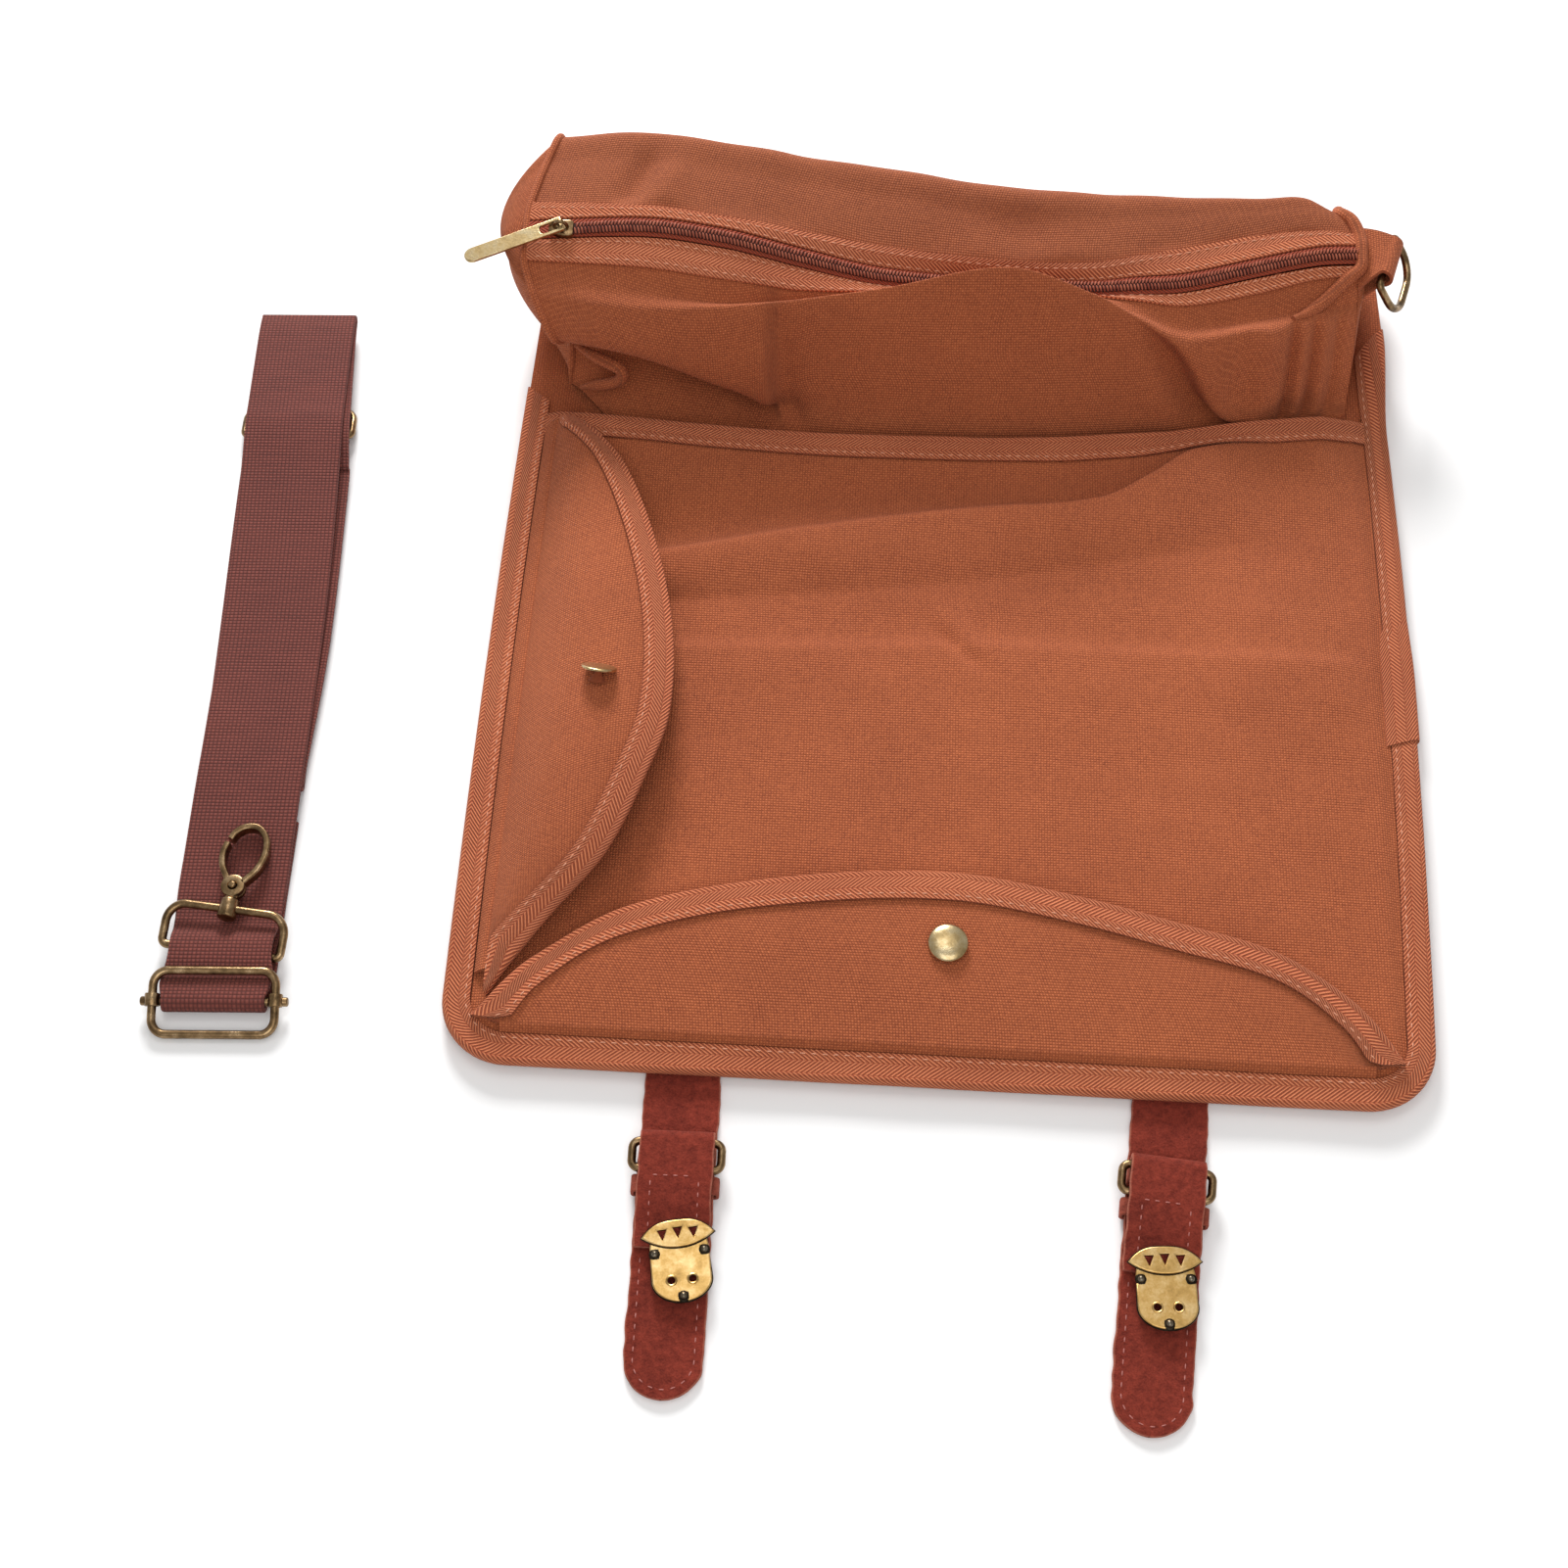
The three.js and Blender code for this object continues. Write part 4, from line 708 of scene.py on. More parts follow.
def makeBaseBinding():
    strip = np.stack([panelEdge(inset) for inset in np.linspace(tape["baseWidth"], 0, tape["lines"])], axis=1)
    firstHalf = np.arange(len(strip)) < len(strip) / 2  # the right side
    strip = strip[strip[:, -1, 1] < np.where(firstHalf, baseTape["rightEnd"], baseTape["leftEnd"])]
    x, y = strip[..., 0], strip[..., 1]
    s = lengths(strip[:, -1])
    uneven = baseTape["wave"] * ripple(s, 0 * s, 3, baseTape["waveLength"])[:, None]
    strip[..., 2] = floorTop + uneven + turnedUp(x - sideBow(x, y), y)
    # thicker where a flap is sewn in under the tape, at the front and along the left side
    x, y = x[:, -1], y[:, -1]
    onRight = x > baseTape["rightSide"]
    sewn = np.where(onRight, smoothStep((baseTape["rightSewnBack"] - y) / baseTape["rightSewnRun"]),
                    smoothStep((baseTape["sewnBack"] - y) / baseTape["sewnRun"]))
    bindEdge("base_binding", strip, base["wall"], baseTape["lift"] + baseTape["sewnLift"] * sewn)
    # where the tape's two ends meet on the right, one lies over the other and ends in a cut edge
    over = strip[onRight & (y > tapeLap["front"]) & (y < tapeLap["back"])]
    inwards = over[:, :1] - (over[:, 1:2] - over[:, :1]) * tapeLap["inwards"]
    over = np.concatenate([inwards, over[:, 1:]], axis=1)
    climb = smoothStep((tapeLap["start"] - over[:, :1, 1:2]) / tapeLap["run"])
    rise = tapeLap["rise"] * climb - tapeLap["sink"]
    over = over + rise * upright
    over[:, -1, 0] += rise[:, 0, 0]
    points, faces, uv = boundTape(over, base["wall"])[:3]
    makePiece("tape_end", points, faces, twill, uv=uv, extra=True)


makeBasePanel()
makeBaseBinding()
print("base made")


# slack pocket

pocket = dict(side=153.5, front=-171.5, edgeHeight=8.6, slack=3.6, wall=1.2, margin=2.7, marginDrop=1.8,
              frontRun=28, leastSlack=0.35, slackRun=150, seamFlat=3, seamRun=16, dropRun=5)
pocketWaves = [(0.45, 11, 70), (0.15, 12, 22)]  # height, seed, length
mouth = dict(middle=82, bow=13.2, skew=6.7)
# x, y of the main fold's ridge, of the foot of its front face, and of a faint lower crease
ridgeLine = [(-154, 8), (-105, 18), (-61, 29.5), (0, 42), (56, 52), (74, 63), (92, 76), (154, 92)]
facetLine = [(-154, -6), (-101, 0), (-3, 13), (45, 23), (110, 38), (154, 44)]
lowLine = [(-154, -24), (-98, -22), (11, -16), (100, -15), (154, -14)]
mainFold = dict(height=6, back=4.5, sharper=1.6, sharpStart=10, sharpRun=40, hollow=2.2, hollowBehind=18,
                hollowWidth=11, leftStart=-156, leftRun=45, rightEnd=124, rightRun=42)
rightClimb = dict(height=3.4, start=35, run=70)
lowCrease = dict(height=1.5, back=4, front=26)
pucker = dict(x=4, y=-15, length=12, width=2.6, depth=1.6, ridge=0.6, ridgeAside=6, ridgeWidth=5)


def mouthAt(x):
    # a parabola with a slant
    across = x / pocket["side"]
    return mouth["middle"] + mouth["bow"] * across ** 2 + mouth["skew"] * across


def pocketHeight(x, y):
    # sewn edges stay low: a sixth power across and an exponential from the front; slack grows to the back
    sides = 1 - np.abs(x / pocket["side"]) ** 6
    front = 1 - np.exp(-(y - pocket["front"]) / pocket["frontRun"])
    least = pocket["leastSlack"]
    rise = least + (1 - least) * np.clip((y - pocket["front"]) / pocket["slackRun"], 0, 1)
    return pocket["edgeHeight"] + sides * front * pocket["slack"] * rise


def pocketFolds(x, y):
    # main fold: a face that climbs by a quarter sine from foot to ridge, and a steep bell behind the ridge
    ridge, facet, low = (readTable(line, x)[..., 0] for line in (ridgeLine, facetLine, lowLine))
    strength = smoothStep((x - mainFold["leftStart"]) / mainFold["leftRun"])
    strength = strength * smoothStep((mainFold["rightEnd"] - x) / mainFold["rightRun"])
    behind = y - ridge
    face = np.sin(np.pi / 2 * np.clip((y - facet) / np.maximum(ridge - facet, 4), 0, 1))
    sharper = mainFold["sharper"] * smoothStep((x - mainFold["sharpStart"]) / mainFold["sharpRun"])
    drop = bump(behind, mainFold["back"] - sharper)
    total = strength * mainFold["height"] * np.where(behind > 0, drop, face)
    total -= strength * mainFold["hollow"] * bump(behind - mainFold["hollowBehind"], mainFold["hollowWidth"])
    # on the right the cloth climbs evenly from the face's foot to the mouth
    right = rightClimb["height"] * smoothStep((x - rightClimb["start"]) / rightClimb["run"])
    total += right * np.clip((y - facet) / (mouthAt(x) - facet), 0, 1)
    total += lowCrease["height"] * bump(y - low, np.where(y > low, lowCrease["back"], lowCrease["front"]))
    # pucker: a short slanting dent with a low ridge beside it
    along = (x - pucker["x"]) * 0.7 - (y - pucker["y"]) * 0.7
    across = (x - pucker["x"]) * 0.7 + (y - pucker["y"]) * 0.7
    beside = pucker["ridge"] * bump(across - pucker["ridgeAside"], pucker["ridgeWidth"])
    dent = bump(across, pucker["width"]) - beside
    return total - pucker["depth"] * dent * bump(along, pucker["length"])


def makePocket():
    u = np.linspace(-1, 1, 201)
    reach = pocket["side"] + pocket["margin"]
    start = pocket["front"] - pocket["margin"]
    end = mouthAt(u * reach) - tape["clear"] - tape["wall"]
    y = start + (end - start)[:, None] * stripLines(end - start, 150)
    x = u[:, None] * reach + 0 * y
    edge = np.minimum(reach - np.abs(x), y - start)
    inside = smoothStep((edge - pocket["seamFlat"]) / pocket["seamRun"])
    z = pocketHeight(np.clip(x, -pocket["side"], pocket["side"]), np.maximum(y, pocket["front"]))
    waves = sum(height * ripple(x, y, seed, length) for height, seed, length in pocketWaves)
    z = z + inside * (pocketFolds(x, y) + waves)
    z = z - pocket["marginDrop"] * (1 - smoothStep(edge / pocket["dropRun"]))
    grid = np.stack([x + sideBow(x, y) * np.abs(u[:, None]) ** 3, y, z], -1)
    makeSheet("pocket_panel", grid, pocket["wall"])
    bindEdge("pocket_binding", grid[:, -tape["lines"]:], pocket["wall"])


makePocket()
print("pocket made")


# side flap and front flap

flapWall = 1.2
flapRoot = 7.9  # height at which both flaps come out of their seams
sideFlap = dict(hinge=-152.5, hingeHeight=11.8, puff=8, usualWidth=54, lean=8, leanStart=-108, leanRun=50,
                wave=0.5, waveLength=60, seamRun=14)
sideFlapEdge = [  # y, edge x, edge height
    (-161, -151.5, 10.5), (-152, -146, 13), (-136, -134, 18), (-112, -116, 22.5), (-82, -104.5, 25.5),
    (-57, -98.5, 25.5), (-20, -100.5, 24), (19, -110, 22.5), (55, -124.5, 20), (74, -138, 16), (82, -147, 13)]
frontFlap = dict(hinge=-171, hingeHeight=10.6, edgeHeight=15.5, crown=1.6, usualWidth=60, lean=9,
                 leanStart=112, leanRun=42, tipRise=1.5, tipDrop=2.6, tipStart=144, tipRun=10,
                 wave=0.35, waveLength=55)
frontFlapEdge = [  # x, edge y
    (-154.5, -169.5), (-148, -162), (-137, -150), (-107, -129.5), (-54, -115.5), (3, -110.5),
    (47, -117), (81, -125), (114, -134), (137, -149), (149, -162), (154.5, -169.5)]


def sideFlapLean(y):
    # how far the seam's end of a line across the flap lies behind its free end, near the front tip
    return sideFlap["lean"] * smoothStep((sideFlap["leanStart"] - y) / sideFlap["leanRun"])


def frontFlapLean(x):
    # how far the seam's end of a line across the flap lies inwards of its free end, near both tips
    past = smoothStep((np.abs(x) - frontFlap["leanStart"]) / frontFlap["leanRun"])
    return -np.sign(x) * frontFlap["lean"] * past


def sideFlapSurface(y, t):
    # rises from the seam towards the free edge, and puffs up between them
    edge = readTable(sideFlapEdge, y)
    edgeX, edgeZ = edge[..., 0], edge[..., 1]
    wide = (edgeX - sideFlap["hinge"]) / sideFlap["usualWidth"]
    rise = 1 - (1 - t) ** 2.2
    puff = sideFlap["puff"] * wide * np.sin(np.pi * t ** 0.8)
    z = sideFlap["hingeHeight"] * (1 - rise) + edgeZ * rise + puff
    return np.stack([sideFlap["hinge"] * (1 - t) + edgeX * t, y + sideFlapLean(y) * (1 - t), z], -1)


def frontFlapSurface(x, t):
    # lies back from the front seam with a low crown
    edgeY = readTable(frontFlapEdge, x)[..., 0]
    reach = (edgeY - frontFlap["hinge"]) / frontFlap["usualWidth"]
    share = np.clip(reach, 0, 1)
    top = (frontFlap["hingeHeight"] + frontFlap["tipRise"]) * (1 - share) + frontFlap["edgeHeight"] * share
    top = top - frontFlap["tipDrop"] * smoothStep((np.abs(x) - frontFlap["tipStart"]) / frontFlap["tipRun"])
    z = frontFlap["hingeHeight"] * (1 - t) + top * t + frontFlap["crown"] * reach * np.sin(np.pi * t)
    return np.stack([x + frontFlapLean(x) * (1 - t), frontFlap["hinge"] * (1 - t) + edgeY * t, z], -1)


def makeFlap(name, grid, seam):
    # adds columns from the seam under the tape up to the flap's first line, rising by a quarter sine
    share = np.linspace(0, 1, 6)[None, :-1, None]
    columns = seam[:, None] * (1 - share) + grid[:, :1] * share
    low = seam[:, None, 2]
    columns[..., 2] = low + (grid[:, :1, 2] - low) * np.sin(np.pi / 2 * share[..., 0])
    grid = np.concatenate([columns, grid], axis=1)
    makeSheet(name, grid, flapWall)
    bindEdge(name + "_binding", grid[:, -tape["lines"]:], flapWall)


def makeSideFlap():
    y = np.linspace(sideFlapEdge[-1][0], sideFlapEdge[0][0], 126)
    t = stripLines(np.hypot(readTable(sideFlapEdge, y)[:, 0] - sideFlap["hinge"], sideFlapLean(y)), 26)
    grid = sideFlapSurface(y[:, None] + 0 * t, t)
    inside = smoothStep((grid[..., 0] - sideFlap["hinge"]) / sideFlap["seamRun"])
    inside = inside * np.sin(np.pi * np.clip(t, 0, 1))
    grid[..., 2] += sideFlap["wave"] * inside * ripple(grid[..., 0], grid[..., 1], 21, sideFlap["waveLength"])
    seamX = sideBow(-1 + 0 * y, y) - pocket["side"] - pocket["margin"]
    makeFlap("side_flap", grid, np.stack([seamX, grid[:, 0, 1], 0 * y + flapRoot], -1))


def makeFrontFlap():
    x = np.linspace(frontFlapEdge[0][0], frontFlapEdge[-1][0], 147)
    t = stripLines(np.hypot(readTable(frontFlapEdge, x)[:, 0] - frontFlap["hinge"], frontFlapLean(x)), 24)
    grid = frontFlapSurface(x[:, None] + 0 * t, t)
    waves = ripple(grid[..., 0], grid[..., 1], 23, frontFlap["waveLength"])
    grid[..., 2] += frontFlap["wave"] * np.sin(np.pi * t) * waves
    seamY = 0 * x + pocket["front"] - pocket["margin"]
    makeFlap("front_flap", grid, np.stack([grid[:, 0, 0], seamY, 0 * x + flapRoot], -1))


makeSideFlap()
makeFrontFlap()
print("flaps made")


# snap caps: a domed disc with a rolled rim on a short post

frontSnap = dict(x=3.0, t=0.57, seat=0.8, radius=6.9, height=2.6, post=0.5, stem=2.4)
sideSnap = dict(y=-46.0, t=0.54, seat=1.9, lift=1.3, lean=(0.1, 0.74, 0.67), radius=6.4, height=1.5,
                post=0.2, stem=1.1)
snapRoot = [(0, -4.4), (3.4, -4.4), (1.7, -2.4), (1.1, -1), (1, -0.1), (0, -0.1)]  # radius, height


def seated(place, direction):
    # stands a piece on a point with its own z along a direction
    side = unit(np.cross((0, 1, 0), direction))
    return lambda points: points @ np.stack([side, np.cross(direction, side), direction]) + place


def snapCap(snap):
    # post, flat underside, rolled rim and a dome that follows a quarter turn
    radius, height, stem, post = snap["radius"], snap["height"], snap["stem"], snap["post"]
    rim, turn = 0.75, np.linspace(0.12, 1.45, 12)
    dome = [(radius * math.cos(a) ** 0.9, rim + (height - rim) * math.sin(a)) for a in turn]
    foot = [(0, -post), (stem, -post), (stem, -0.1), (radius - 0.7, 0), (radius - 0.15, 0.12), (radius, 0.42)]
    return lathe(foot + dome + [(0, height)])


def makeSnaps():
    on = lambda x, t: frontFlapSurface(np.array([x]), np.array([t]))[0]
    x, t = frontSnap["x"], frontSnap["t"]
    here = on(x, t)
    normal = unit(np.cross(on(x + 1, t) - here, on(x, t + 0.02) - here))
    seat = seated(here + normal * frontSnap["seat"], normal)
    makeJoined("front_snap_cap", [snapCap(frontSnap)], paleBrass, seat)
    there = sideFlapSurface(np.array([sideSnap["y"]]), np.array([sideSnap["t"]]))[0]
    lean = unit(np.array(sideSnap["lean"]))
    seat = seated(there + (0, 0, sideSnap["lift"]) + lean * sideSnap["seat"], lean)
    makeJoined("side_snap_cap", [snapCap(sideSnap)], paleBrass, seat)
    # cloth of the flap drawn up to the leaning cap
    makeJoined("side_snap_root", [lathe(snapRoot, 24)], canvas, seat, extra=True)


makeSnaps()
print("snaps made")


# zip compartment: sections along the width with the places of its seams and folds

compartment = dict(wall=1.5, leftEnd=-156, rightEnd=152, backFoot=180, backKnee=38, fullness=1.03,
                   leftDraw=38, rightDraw=36, wave=0.5, waveLength=45)
seamRolls = dict(left=1.5, lip=2.4, right=2.5)  # radii
zipSizes = dict(raised=1.1, opening=8.6, edgeGap=0.7, tapeWall=0.8, facingWall=0.8, gap=0.3)
sections = [  # x, then y and z of top, seam, zip, hem, dip, y and z of crest, lip, tuck
    (-156, 175, 68, 139, 69, 127, 67, 115, 64, 0, 102, 58, 93, 46, 109, 27),
    (-120, 176, 71, 140, 69, 131, 67, 116, 62, 1, 99, 55.5, 91, 40, 113, 22),
    (-90, 174, 69, 139, 66, 130, 64, 115, 58.5, 3, 101.5, 55, 90, 27, 110, 15),
    (-74, 172.5, 68, 138, 64, 128.5, 61, 114.5, 56.5, 3, 103.5, 55.5, 91, 21, 104, 11),
    (-62, 171.2, 67, 137, 62.2, 127, 58.8, 114, 55.2, 3, 105.7, 56.3, 94, 24, 91, 10),
    (-30, 169, 65, 135, 58, 124, 53.5, 116, 54, 0, 111, 59, 98, 33, 90, 16),
    (17, 166, 61, 134.5, 54, 126, 49, 122, 55, 0, 118.5, 65.5, 102, 37, 91, 17),
    (50, 167, 58, 137, 52, 127.5, 48, 121, 51, 0, 115.5, 56, 103, 34, 93, 16),
    (66, 168, 57, 141, 52.2, 129.5, 48.2, 122, 48.5, 0.5, 112, 48.5, 102, 31, 94, 15),
    (85, 169, 56, 146, 52.5, 132, 48.5, 123, 46, 1.5, 108, 42, 101, 27, 95.5, 14),
    (112, 171, 55, 153, 53, 139.5, 50, 130, 46.5, 3, 113, 43, 101.5, 20, 100, 11.5),
    (136, 173, 54, 157, 53, 146, 51, 138, 47.5, 2, 121, 40, 108, 22, 105, 12),
    (152, 170, 50, 158, 51, 148.5, 50, 141, 47, 1, 128, 38, 115, 24, 109, 13)]
foot = dict(clear=2.2, lift=1.6, leftY=104, leftBlend=20, rimRun=14, backGap=0.3)
# along each end from the zip, t: the x shift of its seams, and how far the end bulges out
leftSeamFront = [(0, -8.4), (0.17, -8.1), (0.33, -6), (0.5, -3.3), (0.67, 4), (0.83, 7), (1, 6)]
leftSeamBack = [(0, -8.4), (0.2, -7.8), (0.4, -4), (0.6, 0), (1, 0)]
rightSeamBack = [(0, 0), (0.2, -0.5), (0.4, -3), (0.6, -7), (0.8, -5), (1, -2)]
leftBulge = [(0, 0), (0.2, 8.5), (0.4, 14.5), (0.6, 18.5), (0.75, 22), (0.85, 21), (0.94, 13), (1, 0)]
rightBulge = [(0, 0), (0.2, 2.9), (0.5, 5), (0.8, 2.9), (1, 0)]
# on the front: x, t of the right seam; x, width, height of the pleats; t, x of the slanting fold
rightSeam = [(152, 0.0), (150.5, 0.1), (147, 0.18), (141, 0.27), (134, 0.35), (126, 0.42)]
pleats = [(119, 6, 2.6), (127.5, 2, -3.4), (131.5, 2.4, 1.6), (136, 1.7, -2.8), (140, 2.6, 1.4), (145, 2, -2)]
slantLine = [(0.4, 66), (0.5, 84), (0.58, 91), (0.75, 102), (0.85, 108), (1, 112)]
pleatZone, foldZone = (0.36, 0.2, 0.14), (0.47, 0.15, 0.22)  # t where it begins, its run, and that at the foot
slantFold = dict(height=5, right=12, left=5.5, hollow=8, hollowAside=13, hollowWidth=8)
lipCrease = dict(x=-76, slant=24, height=3.6, right=2.2, left=6, hollow=2.4, hollowAside=7, hollowWidth=4)
lipCurl = [  # path of a small curl of cloth under the lip
    (-146.5, 103, 31.8), (-141.7, 100, 31.1), (-134, 97, 29.4), (-128.6, 95, 27.6),
    (-128.8, 94, 23), (-133.6, 94.5, 19.7), (-140.1, 96, 16.3), (-145.2, 98, 12.3)]
sharpDent = dict(x=-122, depth=2.6, width=5, ridge=1.2, ridgeX=-110, ridgeWidth=6, slant=30,
                 t=0.33, reach=0.12)
broadDent = dict(x=22, depth=1.8, width=26, t=0.36, reach=0.1)


def sectionAt(x):
    # the section's points in order, from the zip down the front and from the zip over the back
    values = readTable(sections, x)
    place = lambda k: np.stack([x, values[:, k], values[:, k + 1]], -1)
    flat = lambda y, z: np.stack([x, 0 * x + y, 0 * x + z], -1)
    top, seam, middle, hem, crest, lip, tuck = (place(k) for k in (0, 2, 4, 6, 9, 11, 13))
    across = unit(seam - hem)
    toEdge = across * zipSizes["opening"] / 2
    dip = (hem + crest) / 2
    dip[:, 2] -= values[:, 8]
    nearMouth = np.clip((x - compartment["leftEnd"]) / foot["leftBlend"], 0, 1)
    footY = foot["leftY"] * (1 - nearMouth) + (mouthAt(x) + foot["clear"]) * nearMouth
    rim = np.clip((base["flatInset"] - half + np.abs(x)) / foot["rimRun"], 0, 1)
    footZ = base["wall"] + foot["lift"] + base["lift"] * rim
    shoulder = seam + (top - seam) * 0.55 + (0, 0, 1.5)
    knee = flat(compartment["backFoot"] - 1, compartment["backKnee"])
    backFoot = flat(compartment["backFoot"], floorTop + foot["backGap"])
    front = np.stack([middle - toEdge, hem, dip, crest, lip, tuck, flat(footY, footZ)], 1)
    back = np.stack([middle + toEdge, seam, shoulder, top, knee, backFoot], 1)
    return front, back, middle, across, np.cross((1.0, 0, 0), across)


def nearLeft(x):
    # 1 at the left end, fading to 0 along a smooth step
    return smoothStep((compartment["leftEnd"] + compartment["leftDraw"] - x) / compartment["leftDraw"])


def foldPush(apart, fold):
    # a bell that is wider on one side than on the other, with a hollow to one side of it
    side = np.where(apart > 0, fold["right"], fold["left"])
    hollow = fold["hollow"] * bump(apart + fold["hollowAside"], fold["hollowWidth"])
    return fold["height"] * bump(apart, side) - hollow


def within(t, zone):
    # rises from 0 by a smooth step where the zone begins, and falls to 0 again at the foot
    start, run, footRun = zone
    return smoothStep((t - start) / run) * smoothStep((1 - t) / footRun)


def frontSurface(x, t):
    # the section's curve, with upright pleats where the right end is gathered
    grid = curveThrough(sectionAt(x)[0], t)
    gathered = sum(height * bump(x - place, width) for place, width, height in pleats)
    grid[..., 1] -= within(t, pleatZone) * gathered[:, None]
    # a slanting fold stands forward on the right, and an upright crease where the lip ends
    slanting = foldPush(x[:, None] - readTable(slantLine, t)[:, 0], slantFold)
    beside = x[:, None] - lipCrease["x"] - lipCrease["slant"] * np.clip(t - 0.5, 0, 1)
    hollowRight = dict(lipCrease, hollowAside=-lipCrease["hollowAside"])
    grid[..., 1] -= within(t, foldZone) * (slanting + foldPush(beside, hollowRight))
    grid[..., 0] += nearLeft(x)[:, None] * readTable(leftSeamFront, t)[:, 0]  # the left seam is drawn out
    return grid


def backSurface(x, t):
    # the section's curve with a sharp dent near the left and a broad one in the middle
    grid = curveThrough(sectionAt(x)[1], t)
    over = smoothStep((t - 0.2) / 0.06)
    lean = sharpDent["slant"] * (t - 0.4)
    sharp = sharpDent["depth"] * bump(x[:, None] - sharpDent["x"] - lean, sharpDent["width"])
    ridge = sharpDent["ridge"] * bump(x[:, None] - sharpDent["ridgeX"] - lean, sharpDent["ridgeWidth"])
    sharp = (sharp - ridge) * bump(t - sharpDent["t"], sharpDent["reach"])
    broad = bump(x[:, None] - broadDent["x"], broadDent["width"])
    broad = broad * bump(t - broadDent["t"], broadDent["reach"])
    grid[..., 2] -= over * (sharp + broadDent["depth"] * broad)
    waves = ripple(grid[..., 0], grid[..., 1], 31, compartment["waveLength"])
    grid[..., 2] += over * compartment["wave"] * waves
    drawn = compartment["rightDraw"]
    nearRight = smoothStep((x - compartment["rightEnd"] + drawn) / drawn)
    grid[..., 0] += nearLeft(x)[:, None] * readTable(leftSeamBack, t)[:, 0]
    grid[..., 0] += nearRight[:, None] * readTable(rightSeamBack, t)[:, 0]
    return grid


def endLine(surface, x, t):
    # one line down a surface, at a single x
    return surface(np.array([float(x)]), t)[0]


def makeEnd(name, x, side, bulge):
    # spans from the front's edge to the back's edge and bulges outwards by a parabola between them
    t, s = np.linspace(0, 1, 61), np.linspace(0, 1, 41)
    start, end = (endLine(surface, x, t)[:, None] for surface in (frontSurface, backSurface))
    grid = start + (end - start) * s[None, :, None]
    grid[..., 0] += side * (0.2 + readTable(bulge, t) * (1 - (2 * s - 1) ** 2))
    makeSheet(name, grid[:, ::side], compartment["wall"])


def seamRoll(name, path, radius):
    # a roll of cloth along a seam, thinner at its ends
    path = resampled(path, 1.0)
    s = lengths(path)
    size = radius * (0.45 + 0.55 * np.minimum(smoothStep(s / 12), smoothStep((s[-1] - s) / 12)))
    points, faces = sweep(path, size[:, None, None] * circle(1, 14), (1, 0.2, 0.1))
    around = np.linspace(0, 2 * np.pi * radius, 14, endpoint=False)
    uv = np.stack(np.broadcast_arrays(s[:, None], around), -1).reshape(-1, 2)
    makePiece(name, points, faces, canvas, uv=uv, extra=True)


def facingStrip(name, rows, seams):
    # twill facing laid on the canvas beside the zip, with rows of stitches
    normals = gridNormals(rows)
    grid = rows + normals * (zipSizes["gap"] + zipSizes["facingWall"])
    makeCloth(name, grid, zipSizes["facingWall"], twill)
    lines = [columnAt(grid, share) for share in seams]
    rows = [stitchRow(line, normals[:, k], start=3) for line, k in lines]
    makeJoined(name + "_stitches", rows, paleThread, extra=True)


def makeCompartment():
    wall, leftEnd, rightEnd = compartment["wall"], compartment["leftEnd"], compartment["rightEnd"]
    x = np.linspace(leftEnd, rightEnd, 290)
    t = np.concatenate([np.linspace(0, 1 / 6, 10)[:-1], np.linspace(1 / 6, 1, 100)])
    front = frontSurface(x, t)[:, ::-1]
    makeSheet("compartment_front", front, wall, compartment["fullness"])
    t = np.concatenate([np.linspace(0, 1 / 5, 10)[:-1], np.linspace(1 / 5, 1, 50)])
    back = backSurface(x, t)
    # the back and top in the darker canvas copy: painted shade
    makeSheet("compartment_back", back, wall, material=shadedCanvas)
    facingStrip("zip_facing_lower", front[:, -10:], (0.2, 0.84))
    facingStrip("zip_facing_upper", back[:, :10], (0.16, 0.8))
    makeEnd("compartment_end_left", leftEnd, -1, leftBulge)
    makeEnd("compartment_end_right", rightEnd, 1, rightBulge)


def makeSeams():
    leftEnd, rightEnd = compartment["leftEnd"], compartment["rightEnd"]
    t = np.linspace(0, 1, 40)
    line = np.concatenate([endLine(frontSurface, leftEnd, t)[::-1], endLine(backSurface, leftEnd, t)])
    seamRoll("left_seam", line - (0.5, 0, 0), seamRolls["left"])
    seamRoll("lip_curl", curveThrough(lipCurl, np.linspace(0, 1, 60)), seamRolls["lip"])
    # the right seam leaves the edge at the hem and runs inwards over the front
    turn = curveThrough(rightSeam, t)
    inwards = np.array([endLine(frontSurface, x, np.array([k]))[0] for x, k in turn])
    line = np.concatenate([endLine(backSurface, rightEnd, t)[::-1], inwards])
    seamRoll("right_seam", line + (0.6, -0.4, 0.6), seamRolls["right"])


makeCompartment()
makeSeams()
print("compartment made")


# zip: tape, coil, slider and pull

slider = dict(x=-151.5, length=9, width=7, height=3.2, corner=0.8, bridge=2.5, bridgeHeight=4.2)
pull = dict(length=38, width=6.6, wall=1.3, rootBar=1.5, turn=20, droop=10, rise=1.8, bevel=0.35,
            windowLength=8, windowWidth=4.2)
tooth = dict(pitch=1.3, middle=1.22, reach=1.12, height=0.7, arch=0.75, slant=0.3, radius=0.4)
zipCore = dict(raised=0.5, reach=2.1, wall=0.35)


